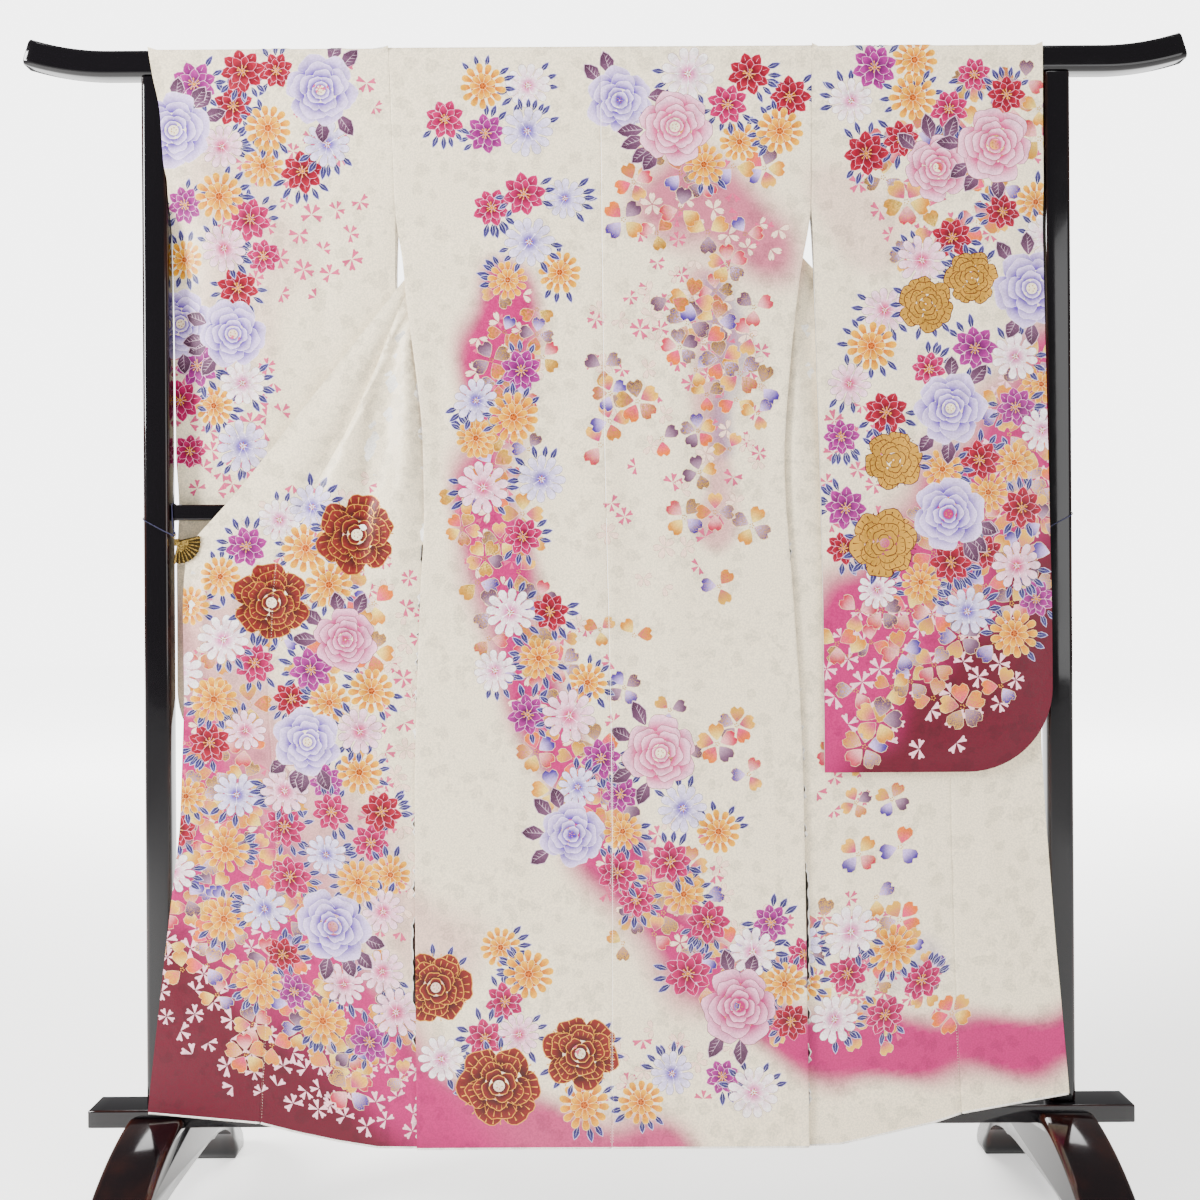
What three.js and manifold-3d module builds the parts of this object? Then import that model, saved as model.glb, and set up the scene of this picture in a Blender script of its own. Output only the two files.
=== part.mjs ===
// A furisode, the long-sleeved kimono, hung over its black lacquer stand with its back to the
// front (-Y) and both fronts drawn out to the sides. Millimetres, +Z up. The origin is on the
// floor, under the middle of the stand.
//
// Every cloth piece is a wall built round the middle surface of the lined silk: a grid of points
// with a row for each height and a column for each seam, ridge and trough. "Out" is the distance
// from the middle plane of the stand, to either side, and y is how far back a point lies.

import * as THREE from 'three';
import { mergeVertices } from 'three/addons/utils/BufferGeometryUtils.js';
import Module from 'manifold-3d';

// ---- Driving sizes ---------------------------------------------------------------------------

const GAP = 0.3;                      // clearance between pieces that touch
const CLOTH = 2;                      // face silk and lining together
const BAND = 3;                       // collar band, silk over its stiffening
const LAP = CLOTH + GAP;              // from the middle of one layer to the middle of the next

const RAIL = { reach: 873, top: 1781, high: 40, deep: 36, corner: 8, straight: 750, rise: 19 };
const POST = { out: 681, wide: 40, deep: 34, corner: 8 };
const MIDDLE_RAIL = { z: 1083, high: 24, deep: 20, corner: 3 };
const BEAM = { reach: 784, deep: 60, high: 27, top: 187, corner: 3 };
const FOOT = { wide: 84, bevel: 9, reach: 300, crown: 177, fall: 140, over: 290, toe: 14 };
const ARCH = { reach: 245, high: 89, cusp: 120, drop: 4 };

const SHOULDER = 1748;                // shoulder fold, on the far side of the rail
const NECK = { top: 1766, half: 78, corner: 14 };
const UNDERARM = 1430;                // top of the side seams
const ARMHOLE_END = 1577;             // where the sleeve seam stops holding the front up
const POINT = 1518;                   // upper point of the overlap panel
const TIP = 1030;                     // height where the clips hold the fronts
const HEM = 131;
const COLLAR_WIDE = 55;
const SLEEVE_SEAM = 1535;             // lower end of the sleeve seam on the back
const SLEEVE_END = 687;
const SLEEVE_CORNER = 127;            // radius of the rounded sleeve corner
const SEAM_EASE = 60;                 // how far from a sewn edge a sleeve fills out

// Fan-shaped clips. Angles are in degrees from straight inward, up being positive. The spine
// stands from "near" to "far" outside the apex.
const CLIP = {
  radius: 33, disc: 14, jaw: 24, high: 18, low: -107, thick: 1.3,
  ribs: 10, rib: { raised: 0.45, root: 1.4, tip: 2.6 }, spine: { near: 1, far: 7, high: 11 },
};
const CORD = { thick: 1.6, sides: 8, steps: 64 };

// Back panels: where the side edge and the middle seam run, by height.
const CENTRE_SEAM = [
  { z: 1783, x: -7.5 }, { z: 1247, x: -4.7 }, { z: 647, x: 3.7 }, { z: HEM, x: 0.6 },
];
const BACK_DEPTH = [
  { z: 1742, y: -19.3 }, { z: 1577, y: -20.5 }, { z: 1430, y: -22 }, { z: 1083, y: -24.5 },
  { z: 600, y: -30 }, { z: 187, y: -38.5 }, { z: HEM, y: -38.5 },
];

// One record for each side of the garment. In "front", crease is the hidden fold behind the back
// panel, edge the line that the collar or the overlap's free edge follows, and okumi the width of
// the overlap panel. In "folds", roll is the outer flank of the roll beside the side seam and
// cone the crest of the next fold.
const LEFT = {
  side: -1,
  crest: 4,                           // how far the overlap bulges between its seam and its edge
  lean: 5,                            // how far the collar's free edge stands off the front
  body: [
    { z: 1783, out: 326 }, { z: 1655, out: 322 }, { z: 1535, out: 317 }, { z: 1448, out: 305 },
    { z: 1409, out: 302 }, { z: 1286, out: 286.5 }, { z: 1189, out: 277.5 }, { z: 1072, out: 276 },
    { z: 958, out: 282 }, { z: 757, out: 289.5 }, { z: 649, out: 291.8 }, { z: HEM, out: 290.4 },
  ],
  front: [
    { z: SHOULDER - GAP, crease: 64, edge: 78, y: 19.3, back: 22.5, fold: 3.2, okumi: 0 },
    { z: 1650, crease: 98, edge: 134, y: 19.3, back: 24, fold: 4, okumi: 0 },
    { z: ARMHOLE_END, crease: 125, edge: 192, y: 18, back: 24.5, fold: 5, okumi: 0 },
    { z: POINT, crease: 147, edge: 238, y: 5, back: 14, fold: 5.5, okumi: 4 },
    { z: UNDERARM, crease: 172, edge: 307, y: -19.7, back: -12, fold: 6, okumi: 16 },
    { z: 1391, crease: 178, edge: 338, y: -19.9, back: -13, fold: 6.5, okumi: 25 },
    { z: 1296, crease: 195, edge: 412, y: -20.7, back: -14.5, fold: 6.5, okumi: 62 },
    { z: 1200, crease: 212, edge: 488, y: -21.3, back: -17, fold: 6, okumi: 93 },
    { z: 1110, crease: 245, edge: 559, y: -22, back: -20, fold: 4.6, okumi: 111 },
    { z: TIP, crease: 268, edge: 633, y: -22.8, back: -22, fold: 3.6, okumi: 134 },
    { z: 950, crease: 272, edge: 639, y: -23.7, back: -22, fold: 3.2, okumi: 133 },
    { z: 800, crease: 278, edge: 637.5, y: -25.4, back: -22, fold: 3.2, okumi: 124 },
    { z: 586, crease: 281, edge: 645, y: -28, back: -22.5, fold: 3.2, okumi: 145 },
    { z: 393, crease: 281, edge: 666, y: -32, back: -25, fold: 3.2, okumi: 153 },
    { z: HEM, crease: 281, edge: 693, y: -36.2, back: -32.5, fold: 3.2, okumi: 168 },
  ],
  folds: [
    { z: 1391, roll: 309, cone: 311, high: 2 }, { z: 1337, roll: 310, cone: 330, high: 7 },
    { z: 1251, roll: 314, cone: 366, high: 10 }, { z: 1177, roll: 320, cone: 397, high: 11 },
    { z: 1072, roll: 343, cone: 425, high: 8 }, { z: 960, roll: 360, cone: 437, high: 3 },
    { z: 800, roll: 366, cone: 440, high: 0 }, { z: HEM, roll: 366, cone: 440, high: 0 },
  ],
  hem: [
    { out: 290, z: 130 }, { out: 350, z: 131 }, { out: 410, z: 141 }, { out: 470, z: 154 },
    { out: 524, z: 168 }, { out: 693, z: 184 },
  ],
  sleeve: [
    { z: 1783, outer: 688, front: -19.3, back: 19.3 },
    { z: 1740, outer: 681, front: -19.3, back: 19.3 },
    { z: 1688, outer: 670.5, front: -19.3, back: 19.8 },
    { z: 1606, outer: 665, front: -19.3, back: 20.5 },
    { z: ARMHOLE_END, outer: 660, front: -18.6, back: 20.5 },
    { z: 1500, outer: 660, front: -9.5, back: 21 },
    { z: UNDERARM, outer: 660, front: -2, back: 21.5 },
    { z: 1310, outer: 660, front: 6, back: 22 },
    { z: 1180, outer: 660, front: 12.6, back: 22 },
    { z: 1096, outer: 656.2, front: 13.4, back: 22 },
    { z: 1000, outer: 660, front: 14, back: 21.5 },
    { z: SLEEVE_END, outer: 660, front: 13, back: 20 },
  ],
  open: [
    { z: SLEEVE_SEAM, out: 317 }, { z: UNDERARM, out: 320 }, { z: SLEEVE_END, out: 321 },
  ],
};

const RIGHT = {
  side: 1,
  crest: 0,
  lean: 1.2,
  body: [
    { z: 1783, out: 311 }, { z: 1655, out: 310 }, { z: 1540, out: 308 }, { z: 1430, out: 290.4 },
    { z: 1290, out: 274.5 }, { z: 1155, out: 265.5 }, { z: 1127, out: 266 }, { z: 954, out: 277 },
    { z: 794, out: 286.6 }, { z: 672, out: 290.4 }, { z: HEM, out: 294.7 },
  ],
  front: [
    { z: SHOULDER - GAP, crease: 62, edge: 76, y: 19.3, back: 22.5, fold: 3.2, okumi: 0 },
    { z: 1650, crease: 100, edge: 146, y: 19.3, back: 24, fold: 4, okumi: 0 },
    { z: ARMHOLE_END, crease: 128, edge: 205, y: 18, back: 24.5, fold: 5, okumi: 0 },
    { z: POINT, crease: 147, edge: 254, y: 5, back: 14, fold: 5.5, okumi: 4 },
    { z: UNDERARM, crease: 165, edge: 328, y: -19.7, back: -8, fold: 6, okumi: 16 },
    { z: 1391, crease: 174, edge: 361, y: -19.9, back: -10, fold: 6.5, okumi: 28 },
    { z: 1296, crease: 195, edge: 442, y: -20.7, back: -12.5, fold: 6.5, okumi: 62 },
    { z: 1200, crease: 225, edge: 522, y: -21.3, back: -14.5, fold: 5.5, okumi: 93 },
    { z: 1110, crease: 244, edge: 597, y: -22, back: -16.4, fold: 4.6, okumi: 111 },
    { z: TIP, crease: 262, edge: 652, y: -22.7, back: -16.8, fold: 3.6, okumi: 134 },
    { z: 950, crease: 267, edge: 649, y: -23.7, back: -17.5, fold: 3.2, okumi: 134 },
    { z: 700, crease: 279, edge: 649.5, y: -26.6, back: -21.5, fold: 3.2, okumi: 137 },
    { z: 577, crease: 281, edge: 655, y: -28.2, back: -22, fold: 3.2, okumi: 142 },
    { z: 366, crease: 284, edge: 668, y: -32.4, back: -25, fold: 3.2, okumi: 152 },
    { z: HEM, crease: 285, edge: 684.5, y: -36.2, back: -32.2, fold: 3.2, okumi: 161 },
  ],
  folds: [
    { z: 1391, roll: 293, cone: 312, high: 2 }, { z: 1297, roll: 294, cone: 340, high: 4 },
    { z: 1208, roll: 303, cone: 372, high: 4 }, { z: 1072, roll: 308, cone: 420, high: 2 },
    { z: 960, roll: 330, cone: 437, high: 0 }, { z: 800, roll: 366, cone: 440, high: 0 },
    { z: HEM, roll: 366, cone: 440, high: 0 },
  ],
  hem: [
    { out: 290, z: 130 }, { out: 340, z: 132 }, { out: 377, z: 140 }, { out: 480, z: 163 },
    { out: 523, z: 177 }, { out: 684.5, z: 205 },
  ],
  sleeve: [
    { z: 1783, outer: 658, front: -19.3, back: 19.3 },
    { z: 1742, outer: 658, front: -19.3, back: 19.3 },
    { z: 1655, outer: 657.5, front: -20, back: 14 },
    { z: ARMHOLE_END, outer: 657.5, front: -21, back: 3 },
    { z: 1500, outer: 657.5, front: -22.5, back: -6 },
    { z: UNDERARM, outer: 657.5, front: -24, back: -13.5 },
    { z: 1310, outer: 658.6, front: -26, back: -18.5 },
    { z: 1200, outer: 660.2, front: -28, back: -20.5 },
    { z: 1083, outer: 662, front: -29.5, back: -21.2 },
    { z: 900, outer: 664, front: -32, back: -24.5 },
    { z: SLEEVE_END, outer: 663, front: -34, back: -29 },
  ],
  open: [
    { z: SLEEVE_SEAM, out: 308 }, { z: 1499, out: 309.8 }, { z: 1275, out: 315 },
    { z: 1155, out: 318 }, { z: 914, out: 321 }, { z: SLEEVE_END, out: 321.5 },
  ],
};

// ---- Working tools ---------------------------------------------------------------------------

const mix = THREE.MathUtils.lerp;
const ease = (t) => THREE.MathUtils.smoothstep(t, 0, 1);
const point = (x, y, z) => new THREE.Vector3(x, y, z);

// The value of a column at a place along a table, straight between its rows.
function read(table, column, place, key = 'z') {
  const falling = table[0][key] > table[table.length - 1][key];
  const rows = falling ? [...table].reverse() : table;
  if (place <= rows[0][key]) return rows[0][column];
  for (let i = 1; i < rows.length; i++) {
    if (place > rows[i][key]) continue;
    const [low, high] = [rows[i - 1], rows[i]];
    return mix(low[column], high[column], (place - low[key]) / (high[key] - low[key]));
  }
  return rows[rows.length - 1][column];
}

// A closed body from points and triangles, turned so that its faces point out.
function body(points, faces) {
  const volume = faces.reduce((sum, [a, b, c]) => (
    sum + points[a].dot(points[b].clone().cross(points[c]))
  ), 0);
  const turned = volume < 0 ? faces.map(([a, b, c]) => [a, c, b]) : faces;
  const geometry = new THREE.BufferGeometry().setFromPoints(points);
  geometry.setIndex(turned.flat());
  geometry.computeVertexNormals();
  return geometry;
}

// The direction across the cloth at each point of a grid.
function across(grid) {
  const last = grid.length - 1;
  return grid.map((row, i) => row.map((_, j) => {
    const end = row.length - 1;
    const along = row[Math.min(j + 1, end)].clone().sub(row[Math.max(j - 1, 0)]);
    const down = grid[Math.min(i + 1, last)][j].clone().sub(grid[Math.max(i - 1, 0)][j]);
    return along.cross(down).normalize();
  }));
}

// A wall of even thickness round a grid of points, closed along its four edges.
function wall(grid, thickness, normals = across(grid)) {
  const [rows, columns] = [grid.length, grid[0].length];
  const points = [0.5, -0.5].flatMap((half) => grid.flatMap((row, i) => (
    row.map((p, j) => p.clone().addScaledVector(normals[i][j], half * thickness))
  )));
  const faces = [];
  const quad = (a, b, c, d) => faces.push([a, b, c], [a, c, d]);
  const at = (i, j, layer) => layer * rows * columns + i * columns + j;
  for (let i = 0; i + 1 < rows; i++) {
    for (let j = 0; j + 1 < columns; j++) {
      quad(at(i, j, 0), at(i + 1, j, 0), at(i + 1, j + 1, 0), at(i, j + 1, 0));
      quad(at(i, j, 1), at(i, j + 1, 1), at(i + 1, j + 1, 1), at(i + 1, j, 1));
    }
    quad(at(i, 0, 0), at(i, 0, 1), at(i + 1, 0, 1), at(i + 1, 0, 0));
    const edge = columns - 1;
    quad(at(i, edge, 0), at(i + 1, edge, 0), at(i + 1, edge, 1), at(i, edge, 1));
  }
  for (let j = 0; j + 1 < columns; j++) {
    const end = rows - 1;
    quad(at(0, j, 0), at(0, j + 1, 0), at(0, j + 1, 1), at(0, j, 1));
    quad(at(end, j, 0), at(end, j, 1), at(end, j + 1, 1), at(end, j + 1, 0));
  }
  return body(points, faces);
}

// A solid through rings of equal count, its two ends closed flat. Each ring lies across X.
function loft(rings) {
  const count = rings[0].length;
  const faces = [];
  for (let r = 0; r + 1 < rings.length; r++) {
    for (let k = 0; k < count; k++) {
      const [a, b] = [r * count + k, r * count + ((k + 1) % count)];
      faces.push([a, b, b + count], [a, b + count, a + count]);
    }
  }
  const { area, triangulateShape } = THREE.ShapeUtils;
  const cap = (ring, first, way) => {
    const flat = ring.map((p) => new THREE.Vector2(p.y, p.z));
    triangulateShape(flat, []).forEach(([a, b, c]) => {
      const turn = Math.sign(area([flat[a], flat[b], flat[c]]) * area(flat)) * way;
      faces.push(turn > 0 ? [first + a, first + b, first + c] : [first + a, first + c, first + b]);
    });
  };
  cap(rings[0], 0, -1);
  cap(rings[rings.length - 1], (rings.length - 1) * count, 1);
  return body(rings.flat(), faces);
}

// A rectangle with round corners, as points round its edge.
function roundedRectangle(wide, high, corner, steps = 3) {
  const centres = [[1, 1], [-1, 1], [-1, -1], [1, -1]];
  return centres.flatMap(([sx, sy], quarter) => Array.from({ length: steps + 1 }, (_, k) => {
    const angle = (quarter + k / steps) * Math.PI / 2;
    return new THREE.Vector2(
      sx * (wide / 2 - corner) + corner * Math.cos(angle),
      sy * (high / 2 - corner) + corner * Math.sin(angle),
    );
  }));
}

const group = new THREE.Group();

function add(name, geometry, material, x = 0, y = 0, z = 0) {
  const mesh = new THREE.Mesh(geometry, material.clone());
  mesh.name = name;
  mesh.position.set(x, y, z);
  group.add(mesh);
}

const sideName = (part) => (part.side < 0 ? 'left' : 'right');

// ---- Stand: black lacquered wood ----------------------------------------------------------------

const lacquer = new THREE.MeshStandardMaterial({ color: 0x0b0a0d, roughness: 0.18 });

// The top rail runs through both sleeves. Its ends sweep up and are cut square to the sweep.
function topRail() {
  const section = roundedRectangle(RAIL.deep, RAIL.high, RAIL.corner);
  const sweep = RAIL.reach - RAIL.straight;
  const steps = [1, 0.8, 0.6, 0.4, 0.2, 0];
  const stations = [...steps.map((t) => [-1, t]), ...steps.map((t) => [1, t]).reverse()];
  const middle = RAIL.top - RAIL.high / 2;
  return loft(stations.map(([side, t]) => {
    const slope = Math.atan2(2 * RAIL.rise * t, sweep);
    return section.map((p) => point(
      side * (RAIL.straight + sweep * t - p.y * Math.sin(slope)),
      p.x,
      middle + RAIL.rise * t * t + p.y * Math.cos(slope),
    ));
  }));
}

// A straight bar of rounded section, along X or Z.
function bar(wide, high, corner, length, axis) {
  const outline = new THREE.Shape(roundedRectangle(wide, high, corner, 2));
  const solid = new THREE.ExtrudeGeometry(outline, { depth: length, bevelEnabled: false });
  solid.translate(0, 0, -length / 2);
  return axis === 'x' ? solid.rotateZ(Math.PI / 2).rotateY(Math.PI / 2) : solid;
}

// An arched foot: its back falls in a curve to the toes, and the beam lies in a slot in its crown.
function foot() {
  const back = (y) => FOOT.crown - FOOT.fall * (y / FOOT.over) ** 2;
  const under = (y) => ARCH.high * Math.sqrt(Math.max(0, 1 - (y / ARCH.reach) ** 4));
  const slot = BEAM.deep / 2 + GAP;
  const bed = BEAM.top - BEAM.high - GAP;
  const half = (bevel) => [
    [slot, bed], [slot, back(slot) - bevel],
    ...[70, 110, 150, 190, 230, 265, 290].map((y) => [y, back(y) - bevel]),
    [FOOT.reach - 2, FOOT.toe + 9 - bevel], [FOOT.reach, FOOT.toe - bevel / 2], [FOOT.reach - 3, 0],
    ...[0, 8, 25, 50, 85].map((inset) => [ARCH.reach - inset, under(ARCH.reach - inset)]),
    [ARCH.cusp + 5, under(ARCH.cusp) - ARCH.drop], [ARCH.cusp - 8, under(ARCH.cusp)],
    [60, under(60)],
  ];
  const outline = (bevel) => [
    ...half(bevel), ...half(bevel).reverse().map(([y, z]) => [-y, z]),
  ];
  const stations = [
    [-FOOT.wide / 2, FOOT.bevel], [FOOT.bevel - FOOT.wide / 2, 0],
    [FOOT.wide / 2 - FOOT.bevel, 0], [FOOT.wide / 2, FOOT.bevel],
  ];
  return loft(stations.map(([x, bevel]) => outline(bevel).map(([y, z]) => point(x, y, z))));
}

add('rail_top', topRail(), lacquer);
const postLow = BEAM.top + GAP;
const postHigh = RAIL.top - RAIL.high - GAP;
for (const side of [-1, 1]) {
  const name = side < 0 ? 'left' : 'right';
  const upright = bar(POST.wide, POST.deep, POST.corner, postHigh - postLow, 'z');
  add(`post_${name}`, upright, lacquer, side * POST.out, 0, (postLow + postHigh) / 2);
  add(`foot_${name}`, foot(), lacquer, side * POST.out);
}
const between = 2 * (POST.out - POST.wide / 2 - GAP);
add('rail_middle', bar(MIDDLE_RAIL.deep, MIDDLE_RAIL.high, MIDDLE_RAIL.corner, between, 'x'), lacquer,
  0, 0, MIDDLE_RAIL.z);
add('beam', bar(BEAM.deep, BEAM.high, BEAM.corner, 2 * BEAM.reach, 'x'), lacquer,
  0, 0, BEAM.top - BEAM.high / 2);

// ---- Cloth: printed white silk ------------------------------------------------------------------

const silk = new THREE.MeshStandardMaterial({ color: 0xece6da, roughness: 0.55, side: THREE.DoubleSide });
const crimson = new THREE.MeshStandardMaterial({ color: 0xc2527f, roughness: 0.55, side: THREE.DoubleSide });

// How cloth lies over the rail: depth and height of its middle, from the near side to the far one.
const offRail = GAP + CLOTH / 2;
const overRail = [180, 150, 120, 90, 90, 60, 30, 0].map((degrees, k) => {
  const angle = THREE.MathUtils.degToRad(degrees);
  const centre = (k < 4 ? -1 : 1) * (RAIL.deep / 2 - RAIL.corner);
  const radius = RAIL.corner + offRail;
  return {
    y: centre + radius * Math.cos(angle),
    z: RAIL.top - RAIL.corner + radius * Math.sin(angle),
  };
});

// Heights of the rows from the hem up to the rail, closer where the folds are.
const ROWS = [
  190, 260, 340, 430, 520, 610, 700, 790, 870, 940, 1000, TIP, 1060, 1100, 1150, 1200, 1260,
  1320, 1375, UNDERARM, 1475, POINT, ARMHOLE_END, 1640, 1700,
];

// A back panel runs from the hem up over the rail to the shoulder fold on the far side, with a
// piece cut out for the neck.
function backPanel(part) {
  const columns = [1, 0.86, 0.7, 0.54, 0.4, 0.3, 0.22, 0.12, 0];
  const ripple = (t, z) => (
    2.2 * Math.sin(t * 9 + part.side) * ease((0.55 - t) / 0.15) * ease(t / 0.15)
      * ease((z - 250) / 500) * ease((1500 - z) / 300)
  );
  const place = (t, z) => {
    const side = part.side * read(part.body, 'out', z);
    const centre = read(CENTRE_SEAM, 'x', z) + part.side * GAP / 2;
    return mix(centre, side, t);
  };
  const rows = [HEM, ...ROWS, 1742].map((z) => columns.map((t) => (
    point(place(t, z), read(BACK_DEPTH, 'y', z) + ripple(t, z), z)
  )));
  overRail.forEach(({ y, z }) => rows.push(columns.map((t) => point(place(t, 1783), y, z))));
  rows.push(columns.map((t) => {
    const open = ease((NECK.half + NECK.corner - Math.abs(place(t, SHOULDER))) / (2 * NECK.corner));
    return point(place(t, SHOULDER), RAIL.deep / 2 + offRail, mix(SHOULDER, NECK.top, open));
  }));
  return rows;
}

// One row of a front's middle surface. From the side seam it runs inward to a crease hidden behind
// the back panel, turns, and runs out over the folds and the overlap to the edge.
function frontRow(part, z) {
  const value = (column) => read(part.front, column, z);
  const fold = (column) => read(part.folds, column, z);
  const [crease, edge, first] = [value('crease'), value('edge'), value('y')];
  const seam = read(part.body, 'out', z);
  const start = seam - (z < UNDERARM ? 1 : 0);
  const turn = value('fold');
  const inner = crease + Math.min(4, (start - crease) * 0.35);
  const points = [
    [start, first], [mix(inner, start, 0.45), first], [inner, first],
    [crease, first + turn / 2], [inner, first + turn],
  ];
  const line = edge - value('okumi');
  const spread = ease((UNDERARM - z) / 90);
  const high = fold('high');
  const [roll, cone] = [fold('roll'), fold('cone')];
  const marks = [
    [seam - 3, 0], [mix(seam, roll, 0.55), high], [roll, high * 0.35],
    [mix(roll, cone, 0.3), -high * 0.35], [cone, high * 0.55], [line, -high * 0.2],
  ];
  marks.forEach(([mark, lift], k) => {
    const even = mix(inner, line, (k + 1) / marks.length);
    const out = mix(even, mark, spread);
    const flat = mix(first + turn, value('back'), (out - crease) / (edge - crease));
    points.push([out, flat - lift * spread]);
  });
  const crest = part.crest * spread * ease((z - 700) / 300) * ease(Math.abs(z - TIP) / 120);
  for (const share of [0.3, 0.6, 0.85, 1]) {
    const out = mix(line, edge, share);
    const flat = mix(first + turn, value('back'), (out - crease) / (edge - crease));
    points.push([out, flat - crest * Math.sin(Math.PI * Math.min(share, 0.9))]);
  }
  const lift = ease((TIP - z) / (TIP - HEM));
  return points.map(([out, y]) => {
    const rise = read(part.hem, 'z', Math.max(out, 290), 'out') - 130;
    return point(part.side * out, y, z + rise * lift);
  });
}

const SEAM_COLUMN = 10;               // the control point on the overlap's seam
const FRONT_ROWS = [HEM, ...ROWS, SHOULDER - GAP];
const POINT_ROW = FRONT_ROWS.indexOf(POINT);

// Moves a grid's edge column a little way along its rows, to leave the seam's clearance.
function pullBack(grid, column, toward, distance) {
  grid.forEach((row) => {
    const step = row[toward].clone().sub(row[column]).setLength(distance);
    row[column].add(step);
  });
}

// Shortens a strip by half a clearance at one of its end rows.
function drawIn(grid, row, toward) {
  grid[row].forEach((p, k) => p.add(grid[toward][k].clone().sub(p).setLength(GAP / 2)));
}

// A front and its overlap panel are cut from one draped surface, so that the seam lies smooth. The
// front is made in two lengths, one over the shoulder and one below the end of the armhole.
function drapedFront(part) {
  const whole = FRONT_ROWS.map((z) => frontRow(part, z));
  const directions = across(whole);
  const cut = (grid, from, to, rows) => grid.slice(0, rows).map((row) => (
    row.slice(from, to).map((p) => p.clone())
  ));
  const end = whole[0].length;
  const panel = cut(whole, 0, SEAM_COLUMN + 1, FRONT_ROWS.length);
  pullBack(panel, SEAM_COLUMN, SEAM_COLUMN - 1, GAP / 2);
  const overlap = cut(whole, SEAM_COLUMN, end, POINT_ROW + 1);
  pullBack(overlap, 0, 1, GAP / 2);
  const parting = FRONT_ROWS.indexOf(ARMHOLE_END);
  const panelWays = cut(directions, 0, SEAM_COLUMN + 1, FRONT_ROWS.length);
  const below = panel.slice(0, parting + 1);
  const above = panel.slice(parting).map((row) => row.map((p) => p.clone()));
  drawIn(below, parting, parting - 1);
  drawIn(above, 0, 1);
  return {
    edge: whole.map((row) => row[end - 1]),
    panel: wall(below, CLOTH, panelWays.slice(0, parting + 1)),
    shoulder: wall(above, CLOTH, panelWays.slice(parting)),
    overlap: wall(overlap, CLOTH, cut(directions, SEAM_COLUMN, end, POINT_ROW + 1)),
  };
}

// A sleeve is one length of silk folded over the rail and sewn along the bottom and along its
// outer edge below the wrist opening. Its inner edge stays open below the armhole.
function sleeve(part) {
  const columns = [0, 0.16, 0.34, 0.52, 0.7, 0.84, 0.93, 1];
  const heights = [0, 5, 22, 55, 95, SLEEVE_CORNER].map((h) => SLEEVE_END + h).concat(
    [880, 950, 1020, 1083, 1140, 1200, 1260, 1310, 1370, UNDERARM, 1470, 1520, ARMHOLE_END, 1606,
      1650, 1700, 1742],
  );
  const outer = (z) => {
    const fall = Math.max(0, SLEEVE_CORNER - (z - SLEEVE_END));
    return read(part.sleeve, 'outer', z) - SLEEVE_CORNER + Math.sqrt(SLEEVE_CORNER ** 2 - fall ** 2);
  };
  const inner = (z) => read(z > SLEEVE_SEAM ? part.body : part.open, 'out', z) + GAP;
  const side = (z, layer) => columns.map((t) => {
    const out = mix(inner(z), outer(z), t);
    const sewn = ease((ARMHOLE_END - z) / 90);
    const fill = mix(1, ease((outer(z) - out) / SEAM_EASE), sewn) * ease((z - SLEEVE_END) / SEAM_EASE);
    const [near, far] = [read(part.sleeve, 'front', z), read(part.sleeve, 'back', z)];
    const half = mix(LAP / 2 + 0.05, (far - near) / 2, fill);
    return point(part.side * out, (near + far) / 2 + layer * half, z);
  });
  const over = overRail.map(({ y, z }) => columns.map((t) => (
    point(part.side * mix(inner(1783), outer(1783), t), y, z)
  )));
  return [
    ...heights.map((z) => side(z, -1)), ...over, ...heights.map((z) => side(z, 1)).reverse(),
  ];
}

// The collar band is sewn along both front edges and round the back of the neck. It is folded to
// the far side of the fronts, and hangs down behind the rail at the neck.
function collar(edges) {
  const off = CLOTH / 2 + GAP + BAND / 2;
  const tip = FRONT_ROWS.indexOf(TIP);
  const run = (k, lean) => edges[k].slice(tip).filter((p) => p.z < SHOULDER - 60)
    .map((p) => ({ p, lean }));
  const behind = RAIL.deep / 2 + offRail;
  const neck = [-1, -0.78, -0.5, 0, 0.5, 0.78, 1].map((t) => ({
    p: point(t * (NECK.half - 14), behind + 4.2 * Math.abs(t), NECK.top - 4 - 30 * Math.abs(t) ** 3),
    lean: RIGHT.lean,
  }));
  const path = [...run(0, LEFT.lean), ...neck, ...run(1, RIGHT.lean).reverse()];
  return path.map(({ p, lean }, i) => {
    const before = path[Math.max(i - 1, 0)].p;
    const after = path[Math.min(i + 1, path.length - 1)].p;
    const inward = point(after.z - before.z, 0, before.x - after.x).normalize();
    return [0.03, 0.5, 1].map((t) => (
      p.clone().addScaledVector(inward, t * COLLAR_WIDE).add(point(0, off + lean * t, 0))
    ));
  });
}

const edges = [LEFT, RIGHT].map((part) => {
  const name = sideName(part);
  const draped = drapedFront(part);
  add(`back_${name}`, wall(backPanel(part), CLOTH), silk);
  add(`front_${name}`, draped.panel, silk);
  add(`shoulder_${name}`, draped.shoulder, silk);
  add(`okumi_${name}`, draped.overlap, silk);
  add(`sleeve_${name}`, wall(sleeve(part), CLOTH), crimson);
  return draped.edge;
});
add('collar', wall(collar(edges), BAND), silk);

// ---- Clips and cords: brass fans on a braided navy cord ---------------------------------------

const brass = new THREE.MeshStandardMaterial({ color: 0x9a7d3c, roughness: 0.35, metalness: 1 });
const braid = new THREE.MeshStandardMaterial({ color: 0x1d1a3a, roughness: 0.8 });

const wasm = await Module();
wasm.setup();

function toSolid(geometry) {
  const plain = geometry.clone();
  plain.deleteAttribute('normal');
  plain.deleteAttribute('uv');
  const merged = mergeVertices(plain);
  const vertProperties = merged.attributes.position.array;
  const triVerts = new Uint32Array(merged.index.array);
  return new wasm.Manifold(new wasm.Mesh({ numProp: 3, vertProperties, triVerts }));
}

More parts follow.
